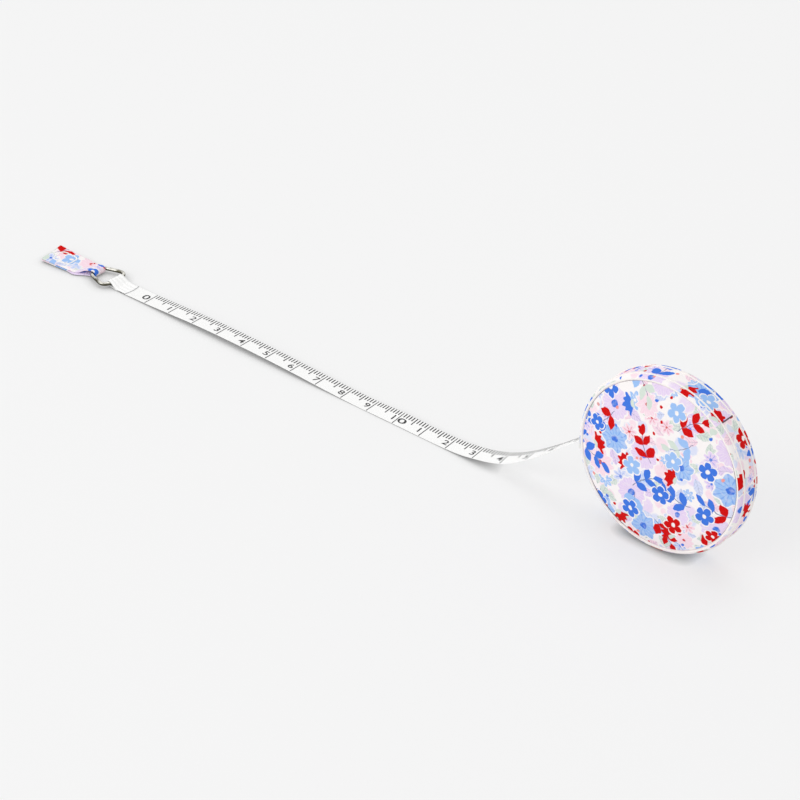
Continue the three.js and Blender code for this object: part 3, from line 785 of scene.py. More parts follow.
class Bench:
    """Modelling steps that are shared by all the pieces, with sizes in millimetres."""

    @staticmethod
    def clear() -> None:
        """Leaves edit mode and selects nothing."""
        if bpy.context.object is not None and bpy.context.object.mode != "OBJECT":
            bpy.ops.object.mode_set(mode="OBJECT")
        bpy.ops.object.select_all(action="DESELECT")

    @staticmethod
    def pick(piece: Piece, edit: bool = False) -> None:
        """Makes this the only selected piece.

        Args:
            piece: the piece.
            edit: whether it is opened in edit mode, with all of it selected.
        """
        Bench.clear()
        piece.select_set(True)
        bpy.context.view_layer.objects.active = piece
        if edit:
            bpy.ops.object.mode_set(mode="EDIT")
            bpy.ops.mesh.select_all(action="SELECT")

    @staticmethod
    def named(name: str) -> Piece:
        """Gives the piece that was just added its name.

        Args:
            name: the piece's name.

        Returns:
            The piece, without the map that it came with.
        """
        piece = bpy.context.object
        piece.name = piece.data.name = name
        while piece.data.uv_layers:
            piece.data.uv_layers.remove(piece.data.uv_layers[0])
        return piece

    @staticmethod
    def turned(name: str, outline: Sequence[Point], steps: int, ring: bool = True) -> Piece:
        """Turns an outline about the case's axis.

        Args:
            name: the piece's name.
            outline: distances from the axis and places along it.
            steps: how many steps make a full turn.
            ring: whether the outline closes on itself, away from the axis.

        Returns:
            The turned piece.
        """
        Bench.clear()
        bpy.ops.mesh.primitive_plane_add(size=MM, location=(0.0, 0.0, 0.0))
        piece = Bench.named(name)
        Bench.pick(piece, edit=True)
        bpy.ops.mesh.merge(type="CENTER")
        points = [Vector((out * MM, along * MM, AXIS_HEIGHT * MM)) for out, along in outline]
        bpy.ops.transform.translate(value=points[0])
        for before, after in zip(points, points[1:]):
            bpy.ops.mesh.extrude_vertices_move(TRANSFORM_OT_translate={"value": after - before})
        bpy.ops.mesh.select_all(action="SELECT")
        if ring:
            Bench.close_outline(piece)
        middle = (0.0, 0.0, AXIS_HEIGHT * MM)
        bpy.ops.mesh.spin(steps=steps, angle=TURN, center=middle, axis=(0.0, 1.0, 0.0))
        bpy.ops.mesh.select_all(action="SELECT")
        bpy.ops.mesh.remove_doubles(threshold=0.002 * MM)
        bpy.ops.mesh.normals_make_consistent(inside=False)
        Bench.clear()
        return piece

    @staticmethod
    def close_outline(piece: Piece) -> None:
        """Joins the two open ends of an outline in edit mode and selects it all.

        Args:
            piece: the outline.
        """
        bpy.ops.object.mode_set(mode="OBJECT")
        used = [corner for edge in piece.data.edges for corner in edge.vertices]
        for vertex in piece.data.vertices:
            vertex.select = used.count(vertex.index) == 1
        for edge in piece.data.edges:
            edge.select = False
        bpy.ops.object.mode_set(mode="EDIT")
        bpy.ops.mesh.select_mode(type="VERT")
        bpy.ops.mesh.edge_face_add()
        bpy.ops.mesh.select_all(action="SELECT")

    @staticmethod
    def block(name: str, low: Place, high: Place) -> Piece:
        """Adds a block.

        Args:
            name: the piece's name.
            low: its lowest corner.
            high: its highest corner.

        Returns:
            The block.
        """
        Bench.clear()
        middle = [(a + b) / 2.0 * MM for a, b in zip(low, high)]
        size = [(b - a) * MM for a, b in zip(low, high)]
        bpy.ops.mesh.primitive_cube_add(size=1.0, location=middle, scale=size)
        bpy.ops.object.transform_apply(location=True, rotation=True, scale=True)
        return Bench.named(name)

    @staticmethod
    def modify(piece: Piece, kind: str, settings: Mapping[str, Any]) -> None:
        """Adds a modifier and applies it at once.

        Args:
            piece: the piece.
            kind: the modifier's type.
            settings: its properties.
        """
        Bench.pick(piece)
        made = piece.modifiers.new(kind.lower(), kind)
        for key, setting in settings.items():
            setattr(made, key, setting)
        bpy.ops.object.modifier_apply(modifier=made.name)

    @staticmethod
    def cut(piece: Piece, low: Place, high: Place) -> None:
        """Takes a block out of a piece.

        Args:
            piece: the piece.
            low: the block's lowest corner.
            high: its highest corner.
        """
        cutter = Bench.block("cutter", low, high)
        settings = {"object": cutter, "operation": "DIFFERENCE", "solver": "EXACT"}
        Bench.modify(piece, "BOOLEAN", settings)
        bpy.data.objects.remove(cutter)

    @staticmethod
    def trim_foot(piece: Piece) -> None:
        """Cuts a piece flat where it would reach below the floor.

        Args:
            piece: the piece.
        """
        Bench.pick(piece, edit=True)
        bpy.ops.mesh.bisect(plane_co=(0.0, 0.0, 0.0), plane_no=UP, use_fill=True, clear_inner=True)
        Bench.clear()

    @staticmethod
    def swept(name: str, angle: float, *solids: Sequence[Sequence[Vector]]) -> Piece:
        """Skins closed sections into solids with flat ends.

        Args:
            name: the piece's name.
            angle: it is shaded smoothly over edges flatter than this, in degrees.
            solids: rows of sections of equal count, for each solid of the piece.

        Returns:
            The piece, facing out.
        """
        corners: list[Vector] = []
        faces: list[Sequence[int]] = []
        for rows in solids:
            first, count = len(corners), len(rows[0])
            corners += [corner for row in rows for corner in row]
            for base in range(first, len(corners) - count, count):
                for k in range(count):
                    near, next_one = base + k, base + (k + 1) % count
                    faces.append((near, next_one, next_one + count, near + count))
            faces.append(range(first + count - 1, first - 1, -1))
            faces.append(range(len(corners) - count, len(corners)))
        data = bpy.data.meshes.new(name)
        data.from_pydata([corner * MM for corner in corners], [], [list(face) for face in faces])
        piece = bpy.data.objects.new(name, data)
        bpy.context.scene.collection.objects.link(piece)
        Bench.pick(piece, edit=True)
        bpy.ops.mesh.normals_make_consistent(inside=False)
        Bench.clear()
        return Bench.smooth(piece, angle) if angle else piece

    @staticmethod
    def smooth(piece: Piece, angle: float) -> Piece:
        """Shades a piece smoothly.

        Args:
            piece: the piece.
            angle: edges sharper than this stay hard, in degrees.

        Returns:
            The piece.
        """
        Bench.pick(piece)
        bpy.ops.object.shade_smooth_by_angle(angle=math.radians(angle))
        Bench.clear()
        return piece

    @staticmethod
    def reshape(piece: Piece, move: Callable[[Vector], Vector]) -> None:
        """Moves each corner of a piece."""
        for vertex in piece.data.vertices:
            vertex.co = move(vertex.co / MM) * MM


def dress(
    piece: Piece, body: str, finish: Finish, replaces: Sequence[str] = ()
) -> Piece:
    """Gives a finished piece its material, its body and what it stands for.

    Args:
        piece: the piece, in place.
        body: the body that it moves with.
        finish: its finish.
        replaces: the solids that it stands for.

    Returns:
        The piece.
    """
    finish.put_on(piece)
    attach(piece, body)
    if replaces:
        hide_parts(*replaces)
    LOG.info("%s on %s: %d faces", piece.name, body, len(piece.data.polygons))
    return piece


class Side(Enum):
    """The two sides of the case."""

    FRONT = -1
    REAR = 1


@dataclass
class CaseCover:
    """Padded cloth case: two crowned faces, a banded rim and its piping. Millimetres."""

    face_y: float = 6.2
    rear_inset: float = 0.05
    plateau: float = 15.0
    crown: float = 1.85
    edge_radius: float = 25.62
    seam_radius: float = 25.7
    seam_section: float = 0.12
    seam_shift: float = 0.02
    cloth: float = 0.35
    pucker: float = 0.05
    band_radius: float = 27.1
    band_thickness: float = 0.55
    band_edge: float = 3.7
    tuck_y: float = 2.75
    tuck_height: float = 0.3
    piping_radius: float = 26.2
    piping_section: float = 0.44
    piping_y: float = 4.25
    piping_swell: float = 0.03
    hole_radius: float = 8.5
    lap_angle: float = 50.5
    lap_rise: float = 0.14
    lip_low: Place = (-27.4, -3.45, 20.35)
    lip_high: Place = (-25.2, 3.45, 26.8)
    lip_slot: Place = (3.25, 21.65, 25.5)
    lip_round: float = 0.09
    mouth_gap: float = 0.12
    cut_start: float = -40.0
    mouth_cut_end: float = -15.0
    slot_cut_end: float = -10.0
    steps: int = 144
    rim_steps: int = 192

    def inset(self, side: Side) -> float:
        """How much nearer to the case's middle the pieces of the rear lie."""
        return self.rear_inset if side is Side.REAR else 0.0

    def fall(self, radius: float) -> float:
        """How far a face has fallen at a distance from the axis."""
        share = max(0.0, (radius - self.plateau) / (self.seam_radius - self.plateau))
        return self.crown * share * share

    def face_outline(self, side: Side, hole: float) -> list[Point]:
        """Section of a face from its middle or hole to its rolled edge and back.

        Args:
            side: which face.
            hole: the radius of its hole, or 0.

        Returns:
            Distances from the axis and places along it.
        """
        high = self.face_y - self.inset(side)
        radii = [hole + (self.edge_radius - hole) * (k / 22.0) ** 0.8 for k in range(22)]
        top = [(r, high - self.fall(r)) for r in radii]
        edge_y = high - self.fall(self.edge_radius)
        roll = ((-0.1, 0.02), (0.0, -0.06), (0.03, -0.2), (-0.1, -0.34))
        rolled = [(self.edge_radius + out, edge_y + up) for out, up in roll]
        under = [(r, high - self.cloth - self.fall(r)) for r in radii[-2::-3]]
        if under[-1][0] > hole:
            under.append((hole, high - self.cloth))
        return [(r, side.value * y) for r, y in [*top, *rolled, *under]]

    def sag(self, corner: Vector) -> float:
        """How deep the cloth is drawn in at its stitches and by its own unevenness.

        Args:
            corner: a corner of a face.

        Returns:
            The depth there.
        """
        radius, angle = polar(corner)
        near = eased((radius - 21.5) / 4.0) * (1.0 - eased((radius - 25.2) / 0.4))
        wave = near * (math.sin(47.0 * angle) + 0.6 * math.sin(29.0 * angle + 1.3))
        soft = noise.noise(corner * 0.16) * (1.0 - eased((radius - 24.0) / 1.6))
        return self.pucker * (abs(wave) + abs(soft))

    def face(self, side: Side, name: str) -> Piece:
        """Makes one padded face with slight puckers along its seam.

        Args:
            side: which face.
            name: the piece's name.

        Returns:
            The face.
        """
        hole = 0.0 if side is Side.FRONT else self.hole_radius
        piece = Bench.turned(name, self.face_outline(side, hole), self.steps, hole > 0.0)
        out = Vector((0.0, side.value, 0.0))
        Bench.reshape(piece, lambda corner: corner - out * self.sag(corner))
        return Bench.smooth(piece, 60.0)

    def lapped(self, corner: Vector) -> Vector:
        """Lifts the band where its end lies over its start.

        Args:
            corner: a corner of the band.

        Returns:
            Its new place.
        """
        radius, angle = polar(corner)
        past = math.degrees(angle) - self.lap_angle
        if radius < self.band_radius - 0.3 or not -6.0 < past < 9.0:
            return corner
        lift = (1.0 - eased(-past / 1.2)) * (1.0 - eased((past - 1.0) / 6.0))
        return outward(corner, self.lap_rise * lift)

    def band(self) -> Piece:
        """Makes the printed band round the rim, open at the mouth and lapped at its join.

        Returns:
            The band.
        """
        inner, edge = self.band_radius - self.band_thickness, self.band_edge
        rear_edge = edge - self.rear_inset
        roll = ((0.68, 0.94), (0.48, 0.8), (0.3, 0.57), (0.17, 0.31), (0.06, 0.05))
        outline = [
            (inner - 0.25, -edge - 0.72),
            *[(self.band_radius - drop, -edge - out) for drop, out in roll],
            *[(self.band_radius, edge * share) for share in spread(17)[1:-1]],
            *[(self.band_radius - drop, rear_edge + out) for drop, out in reversed(roll)],
            (inner - 0.25, rear_edge + 0.72),
            (inner, edge),
            (inner, -edge),
        ]
        piece = Bench.turned("rim_band", outline, self.rim_steps)
        Bench.reshape(piece, self.lapped)
        self.open_mouth(piece)
        self.map_band(piece)
        return Bench.smooth(piece, 50.0)

    def lap_seam_shadow(self) -> Piece:
        """Makes the sewn line across the band where its ends lap, dark as a painted shadow of the
        lapped edge.

        Returns:
            The line.
        """
        angle = math.radians(self.lap_angle)
        way = Vector((math.cos(angle), 0.0, math.sin(angle)))
        side = Vector((-way.z, 0.0, way.x)) * 0.2
        top = way * (self.band_radius + self.lap_rise)
        rows = []
        for share in spread(13):
            middle = top + Vector((0.0, (self.tuck_y - 0.3) * share, AXIS_HEIGHT))
            swell = 0.06 + 0.04 * math.sin((share + 1.0) * 3.0 * math.pi) ** 2
            rows.append(oval(middle, side, way * swell, 8))
        return Bench.swept("lap_seam_shadow", 60.0, rows)

    def open_mouth(self, piece: Piece) -> None:
        """Cuts the mouth's gap through a piece of the rim.

        Args:
            piece: the piece.
        """
        gap = self.mouth_gap
        low = (self.cut_start, self.lip_low[1] - gap, self.lip_low[2] - gap)
        high = (self.mouth_cut_end, self.lip_high[1] + gap, self.lip_high[2] + gap)
        Bench.cut(piece, low, high)

    def unrolled(self, corner: Vector) -> float:
        """Angle of a corner, in metres, from the band's join, over one turn."""
        return (polar(corner / MM)[1] - math.radians(self.lap_angle)) % TURN

    def map_band(self, piece: Piece) -> None:
        """Unrolls the band's map from its lapped join.

        Args:
            piece: the band.
        """
        layer = piece.data.uv_layers.new(name="UVMap")
        for face in piece.data.polygons:
            middle = self.unrolled(face.center)
            for index in face.loop_indices:
                corner = piece.data.vertices[piece.data.loops[index].vertex_index].co
                angle = self.unrolled(corner)
                angle += TURN * round((middle - angle) / TURN)
                along = angle * self.band_radius
                layer.data[index].uv = (along / MAP_SPAN, corner.y / MM / MAP_SPAN)

    def beads(self, name: str, radius: float, along: float, section: float) -> Piece:
        """Makes a rope-like ring of piping, in which the cord shows as slight swellings.

        Args:
            name: the piece's name.
            radius: its distance from the axis.
            along: its place along the axis.
            section: the radius of its section.

        Returns:
            The ring.
        """
        turns = [TURN * k / 14.0 for k in range(14)]
        outline = [(radius + section * math.cos(t), along + section * math.sin(t)) for t in turns]
        piece = Bench.turned(name, outline, self.rim_steps)
        swell = self.piping_swell
        Bench.reshape(piece, lambda corner: outward(corner, swell * noise.noise(corner * 0.5)))
        return Bench.smooth(piece, 80.0)

    def tuck(self, name: str, along: float) -> Piece:
        """Makes a narrow sewn tuck that stands up from the band.

        Args:
            name: the piece's name.
            along: its place along the axis.

        Returns:
            The tuck.
        """
        top = self.tuck_height
        rise = ((-0.2, 0.3), (0.1, 0.24), (top - 0.03, 0.1), (top, 0.0))
        near = [(self.band_radius + up, along - out) for up, out in rise]
        far = [(self.band_radius + up, along + out) for up, out in reversed(rise[:-1])]
        piece = Bench.turned(name, [*near, *far], self.rim_steps)
        self.open_mouth(piece)
        Bench.trim_foot(piece)
        return Bench.smooth(piece, 50.0)

    def lip(self) -> Piece:
        """Makes the moulded lip round the mouth, with rounded edges.

        Returns:
            The lip.
        """
        piece = Bench.block("mouth_frame", self.lip_low, self.lip_high)
        half, low, high = self.lip_slot
        Bench.cut(piece, (self.cut_start, -half, low), (self.slot_cut_end, half, high))
        rounding = {"width": self.lip_round * MM, "segments": 3, "limit_method": "ANGLE"}
        Bench.modify(piece, "BEVEL", rounding)
        return Bench.smooth(piece, 35.0)

    def build(self) -> None:
        """Makes and dresses the case's outside."""
        sides = ((Side.FRONT, FACE_CLOTH, "front"), (Side.REAR, REAR_CLOTH, "rear"))
        for side, cloth, name in sides:
            face = self.face(side, name + "_face")
            dress(face, "case", cloth, [name + "_cover"])
            along = side.value * (self.piping_y - self.inset(side))
            bead = self.beads(name + "_piping", self.piping_radius, along, self.piping_section)
            dress(bead, "case", PIPING, [name + "_welt"])
            # A dark ring between face and piping stands in for the seam's shadow: painted shadow.
            along += side.value * self.seam_shift
            painted_seam_ring = self.beads(name + "_seam", self.seam_radius, along, self.seam_section)
            dress(painted_seam_ring, "case", SEAM_SHADOW)
            tuck = self.tuck(name + "_tuck", side.value * self.tuck_y)
            dress(tuck, "case", TUCK_CLOTH)
        dress(self.band(), "case", BAND_CLOTH, ["side_band"])
        dress(self.lap_seam_shadow(), "case", LAP_THREAD_SHADOW)
        dress(self.lip(), "case", WHITE_PLASTIC, ["mouth_lip"])


@dataclass
class ReleaseButton:
    """Cloth-capped release button in its plated ring at the back. Millimetres."""

    radius: float = 7.55
    foot: float = 5.72
    top: float = 6.15
    ring_inner: float = 7.9
    ring_outer: float = 9.1
    ring_wall: float = 8.35
    ring_foot: float = 5.35
    ring_top: float = 6.5
    steps: int = 96

    def cap(self) -> Piece:
        """Makes the domed cloth cap.

        Returns:
            The cap.
        """
        rise = self.top - self.foot
        outline = [(0.0, self.foot), (self.radius - 0.12, self.foot)]
        outline.append((self.radius, self.foot + 0.1))
        for k in range(13, 0, -1):
            out = math.sin(0.5 * math.pi * k / 14.0)
            dome = 0.3 + 0.7 * math.sqrt(1.0 - out * out)
            outline.append((self.radius * out, self.foot + rise * dome))
        outline.append((0.0, self.top))
        return Bench.smooth(Bench.turned("button_cap", outline, self.steps, False), 60.0)

    def ring(self) -> Piece:
        """Makes the pressed ring that holds the cloth round the button.

        Returns:
            The ring.
        """
        outline = [
            (self.ring_inner, self.ring_foot),
            (self.ring_wall, self.ring_foot),
            (self.ring_wall, self.top + 0.05),
            (self.ring_outer - 0.05, self.top + 0.05),
            (self.ring_outer, self.top + 0.12),
            (self.ring_outer - 0.12, self.top + 0.24),
            (self.ring_wall, self.ring_top),
            (self.ring_inner + 0.22, self.ring_top - 0.02),
            (self.ring_inner + 0.06, self.ring_top - 0.1),
            (self.ring_inner, self.ring_top - 0.24),
        ]
        return Bench.smooth(Bench.turned("button_ring", outline, self.steps), 32.0)

    def build(self) -> None:
        """Makes and dresses the button's outside."""
        dress(self.cap(), "button", REAR_CLOTH, ["button_cover"])
        dress(self.ring(), "case", NICKEL, ["button_bezel"])


class TapePath:
    """The tape's middle line, measured along its length in millimetres."""

    MOUTH_X = -27.4
    COIL_EXIT = (-9.88, 0.0, 38.25)
    ROLL = (
        (68.0, 0.0), (80.0, -1.8), (96.0, -2.2), (108.0, -6.6), (120.0, -4.4), (138.0, -5.5),
        (147.0, -7.5), (158.0, -3.0), (168.0, 2.0), (176.0, 3.0), (190.0, 0.0),
    )
    ROUTE = (
        (0.0, -0.05, 22.6), (4.6, -0.25, 18.75), (9.7, -0.6, 14.6), (13.8, -0.9, 11.4),
        (18.1, -1.2, 8.4), (22.1, -1.45, 6.0), (26.2, -1.6, 4.1), (30.6, -1.72, 2.72),
        (35.6, -1.8, 1.65), (40.6, -1.85, 0.88), (45.6, -1.85, 0.54), (52.6, -1.85, 0.43),
        (64.6, -1.85, 0.56), (76.6, -1.85, 0.3), (85.6, -1.85, 0.42), (94.6, -1.85, 0.72),
        (104.6, -1.85, 1.1), (114.6, -1.85, 1.42), (124.6, -1.85, 1.58), (135.6, -1.85, 1.6),
        (145.6, -1.85, 1.4), (155.6, -1.85, 0.95), (165.4, -1.85, 0.52), (171.7, -1.85, 0.4),
    )

    def __init__(self) -> None:
        """Runs a smooth line through the route and measures it."""
        outside = [Vector((self.MOUTH_X - along, side, up)) for along, side, up in self.ROUTE]
        leave = Vector(self.COIL_EXIT)
        inside = [leave.lerp(outside[0], k / 3.0) for k in range(3)]
        self.points = curve([*inside, *outside], 24)
        self.lengths = distances(self.points)
        self.total = self.lengths[-1]

    def at(self, along: float) -> tuple[Vector, Vector]:
        """Finds a place on the line.

        Args:
            along: distance from the line's sewn end.

        Returns:
            The point, and the direction that the tape's printed side faces.
        """
        last = len(self.points) - 1
        want = min(self.total, max(0.0, self.total - along))
        high = min(last, bisect_right(self.lengths, want))
        low = high - 1
        share = (want - self.lengths[low]) / (self.lengths[high] - self.lengths[low])
        way = self.points[max(0, low - 2)] - self.points[min(last, high + 2)]
        point = self.points[low].lerp(self.points[high], share)
        return point, Vector((-way.z, 0.0, way.x)).normalized()

    def roll(self, along: float) -> float:
        """How far the tape leans to its far side at a place, in radians."""
        steps = zip(self.ROLL, self.ROLL[1:])
        return math.radians(sum((b - a) * eased((along - s) / (e - s)) for (s, a), (e, b) in steps))

    def lay(self, along: float, across: float, lift: float) -> Vector:
        """Puts a place on the flat tape on to its curved run.

        Args:
            along: distance from the sewn end.
            across: distance from the middle line, towards the far edge.
            lift: height over the middle of the tape's thickness.

        Returns:
            The point.
        """
        point, up = self.at(along)
        side, lean = Vector((0.0, 1.0, 0.0)), self.roll(along)
        over = side * math.cos(lean) - up * math.sin(lean)
        return point + over * across + (up * math.cos(lean) + side * math.sin(lean)) * lift


@dataclass
class Tape:
    """The drawn-out tape with its scale and its folded end. Millimetres."""

    width: float = 6.2
    thickness: float = 0.24
    soft_edge: float = 0.06
    steps: int = 420
    zero: float = 6.3
    centimetres: int = 17
    last_mark: int = 171
    mark_inset: float = 0.1
    ink_lift: float = 0.02
    fold_x: float = -208.0
    fold_z: float = 1.4
    fold_end: float = -199.4
    bar_radius: float = 0.75
    strip_end: float = -199.08
    strip_z: float = 0.4
    middle_y: float = -1.85
    inside: float = 23.5
    reel_room: float = 0.6
    room_run: float = 14.0
    edge_bow: float = 0.4
    edge_section: float = 0.12
    edge_x: float = -201.04
    edge_z: float = 0.56
    pleat: float = 0.3
    slide_axis: Place = (0.99196, 0.0107, 0.12609)
    slide_range: float = 172.5
    anchor_x: float = -12.0

    # Every so many millimetres, a mark of this reach and width.
    MARKS: ClassVar[tuple[tuple[int, float, float], ...]] = (
        (10, 6.05, 0.3), (5, 3.3, 0.38), (1, 1.95, 0.4)
    )

    def draw_in(self, piece: Piece) -> None:
        """Gives a piece of the tape its own copy of its mesh.

        Args:
            piece: the strip, or what is printed on it.
        """
        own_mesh(piece)

    def strip(self, path: TapePath) -> Piece:
        """Makes the tape's plain strip with softly rounded edges.

        Args:
            path: the tape's line.

        Returns:
            The strip.
        """
        half, thick = self.width / 2.0, self.thickness / 2.0
        flat = half - self.soft_edge
        section = [(-half, 0.0), (-flat, thick), (-half / 2.0, thick), (0.0, thick)]
        section += [(half / 2.0, thick), (flat, thick), (half, 0.0)]
        section += [(across, -thick) for across in (flat, 0.0, -flat)]
        rows = []
        for k in range(self.steps + 1):
            along = path.total * k / self.steps
            room = self.reel_room * eased((along - path.total + self.inside) / self.room_run)
            rows.append([path.lay(along, min(across, half - room), up) for across, up in section])
        return Bench.swept("tape_strip", 50.0, rows)

    def tick(self, path: TapePath, along: float, reach: float, wide: float) -> Rows:
        """Makes one scale mark from the far edge.

        Args:
            path: the tape's line.
            along: the mark's distance from the sewn end.
            reach: how far it runs across the tape.
            wide: the mark's own width.

        Returns:
            Its upper and its lower corners.
        """
        far, half, top = self.width / 2.0 - self.mark_inset, wide / 2.0, self.thickness / 2.0
        spots = ((-half, far), (half, far), (half, far - reach), (-half, far - reach))
        lifts = (top + self.ink_lift, top - self.ink_lift)
        return [[path.lay(along + a, b, lift) for a, b in spots] for lift in lifts]

    def marks(self, path: TapePath) -> Piece:
        """Makes the millimetre, half-centimetre and centimetre marks.

        Args:
            path: the tape's line.

        Returns:
            The marks.
        """
        ticks = []
        for millimetre in range(self.last_mark):
            sizes = next(sizes for every, *sizes in self.MARKS if millimetre % every == 0)
            ticks.append(self.tick(path, self.zero + millimetre, *sizes))
        return Bench.swept("tape_marks", 0.0, *ticks)

    def figure(
        self, path: TapePath, text: str, middle: Point, size: float, stretch: float = 1.32
    ) -> Piece:
        """Makes one printed figure.

        Args:
            path: the tape's line.
            text: the figure.
            middle: the place of its middle, from the sewn end and from the tape's middle.
            size: its height.
            stretch: how much wider it is drawn than the typeface.

        Returns:
            The figure on the tape.
        """
        Bench.clear()
        bpy.ops.object.text_add(location=(0.0, 0.0, 0.0))
        letter = bpy.context.object
        letter.data.body, letter.data.align_x = text, "CENTER"
        letter.data.size, letter.data.resolution_u = 1.0, 5
        letter.data.offset, letter.data.extrude = 0.012, 0.02
        bpy.ops.object.convert(target="MESH")
        heights = [vertex.co.y for vertex in letter.data.vertices]
        low, high = min(heights), max(heights)
        scale = size / (high - low)
        for vertex in letter.data.vertices:
            flat = vertex.co
            along = middle[0] + flat.x * scale * stretch
            across = middle[1] + (flat.y - (low + high) / 2.0) * scale
            lift = self.thickness / 2.0 + math.copysign(self.ink_lift, flat.z)
            vertex.co = path.lay(along, across, lift) * MM
        return letter

    def figures(self, path: TapePath) -> Piece:
        """Makes all the figures of the scale, each beside its centimetre mark.

        Args:
            path: the tape's line.

        Returns:
            The figures.
        """
        letters = [self.figure(path, "0", (self.zero - 1.9, -0.2), 2.8)]
        for count in range(1, self.centimetres + 1):
            along = self.zero + 10.0 * count
            if count % 10 == 0:
                letters.append(self.figure(path, str(count // 10), (along - 1.4, -0.6), 2.3))
                letters.append(self.figure(path, "0", (along + 1.8, -0.6), 2.3, 2.0))
            else:
                letters.append(self.figure(path, str(count % 10), (along - 1.55, -0.7), 2.2))
        Bench.pick(letters[0])
        for letter in letters:
            letter.select_set(True)
        bpy.ops.object.join()
        whole = Bench.named("tape_figures")
        Bench.clear()
        return whole

    def fold_line(self) -> list[Vector]:
        """Side line of the fold: under the bar, round it and back over the top.

        Returns:
            Points along the line, in the plane of the tape's length.
        """
        low = self.strip_z - self.thickness / 2.0
        high = self.strip_z + self.thickness / 2.0 + 0.02
        radius = self.bar_radius + self.thickness / 2.0
        line = [(self.fold_end + 0.28, self.strip_z), (-201.0, 0.36)]
        line += [(-203.4, low), (-205.6, low + 0.03)]
        line += round_bar((self.fold_x, self.fold_z), radius, -75.0, -210.0)
        line += [(-206.2, 1.42), (-205.0, 0.82), (-203.6, high + 0.06)]
        line += [(-202.4, high), (-201.1, high)]
        return curve([Vector((x, 0.0, z)) for x, z in line], 6)

    def fold(self) -> Piece:
        """Makes the folded end, its upper layer gathered in small pleats towards the ring.

        Returns:
            The fold.
        """
        line = self.fold_line()
        half, thick = self.width / 2.0, self.thickness / 2.0
        rows = []
        for k, (point, way) in enumerate(zip(line, headings(line))):
            up = Vector((way.z, 0.0, -way.x))
            share = k / (len(line) - 1)
            gather = 1.0 - 0.07 * eased(1.0 - abs(point.x - self.fold_x) / 3.0)
            pleat = self.pleat * eased((share - 0.55) / 0.15)
            pleat *= eased((self.fold_end - 0.6 - point.x) / 2.0)
            top, bottom = [], []
            for column in spread(33):
                bulge = self.edge_bow * (1.0 - column * column) * eased((share - 0.9) / 0.1)
                ripple = pleat * (0.5 + 0.5 * math.cos(column * 12.0))
                place = Vector((point.x + bulge, self.middle_y + column * half * gather, point.z))
                top.append(place + up * (thick + ripple))
                bottom.append(place - up * (thick - ripple * 0.9))
            rows.append([*top, *reversed(bottom)])
        return Bench.swept("tape_fold", 50.0, rows)

    def fold_edge_shadow(self) -> Piece:
        """Makes the raw edge across the tape where the folded layer ends, grey as a painted shadow
        along that edge.

        Returns:
            The edge.
        """
        rows = []
        for column in spread(25):
            bulge = self.edge_bow * (1.0 - column * column)
            across = self.middle_y + column * self.width / 2.0
            middle = Vector((self.edge_x + bulge, across, self.edge_z))
            side = Vector((self.edge_section, 0.0, 0.0))
            rows.append(oval(middle, side, UP * self.edge_section, 8))
        return Bench.swept("fold_edge_shadow", 60.0, rows)

    def build(self) -> None:
        path = TapePath()
        strip = dress(self.strip(path), "case", TAPE_COAT, ["tape_run"])
        marks = dress(self.marks(path), "case", SCALE_INK)
        figures = dress(self.figures(path), "case", SCALE_INK)
        fold = dress(self.fold(), "tape_end", TAPE_COAT, ["tape_end"])
        edge = dress(self.fold_edge_shadow(), "tape_end", RAW_EDGE_SHADOW)
        for piece in (strip, marks, figures):
            self.draw_in(piece)
        [tuple(point * MM) for point in path.points]


@dataclass
class EndRing:
    """Bent wire ring between the tape and the tab. Millimetres."""

    near_x: float = -208.0
    far_x: float = -216.0
    wide: float = 4.8
    narrow: float = 3.3
    wire: float = 0.6
    height: float = 1.4
    middle_y: float = -1.85
    split: float = 0.15

    def line(self) -> list[Vector]:
        """The wire's middle line from one side of its butt joint to the other.

        Returns:
            Points along the line.
        """
        near, far = self.near_x, self.far_x
        half = [
            (near, self.split),
            (near, self.wide - 2.3),
            (near - 0.25, self.wide - 1.25),
            (near - 0.95, self.wide - 0.35),
            (near - 2.1, self.wide),
            (near - 4.3, self.wide - 0.6),
            (far + 1.25, self.narrow),
            (far + 0.35, self.narrow - 0.45),
            (far, self.narrow - 1.3),
        ]
        whole = [*half, *[(x, -y) for x, y in reversed(half)]]
        return curve([Vector((x, y + self.middle_y, self.height)) for x, y in whole], 10)

    def build(self) -> None:
        """Makes and dresses the ring."""
        line = self.line()
        sides = [Vector((way.y, -way.x, 0.0)) * self.wire for way in headings(line)]
        rows = [oval(point, side, UP * self.wire, 16) for point, side in zip(line, sides)]
        piece = Bench.swept("ring_wire", 60.0, rows)
        dress(piece, "ring", NICKEL_WIRE, ["end_ring"])


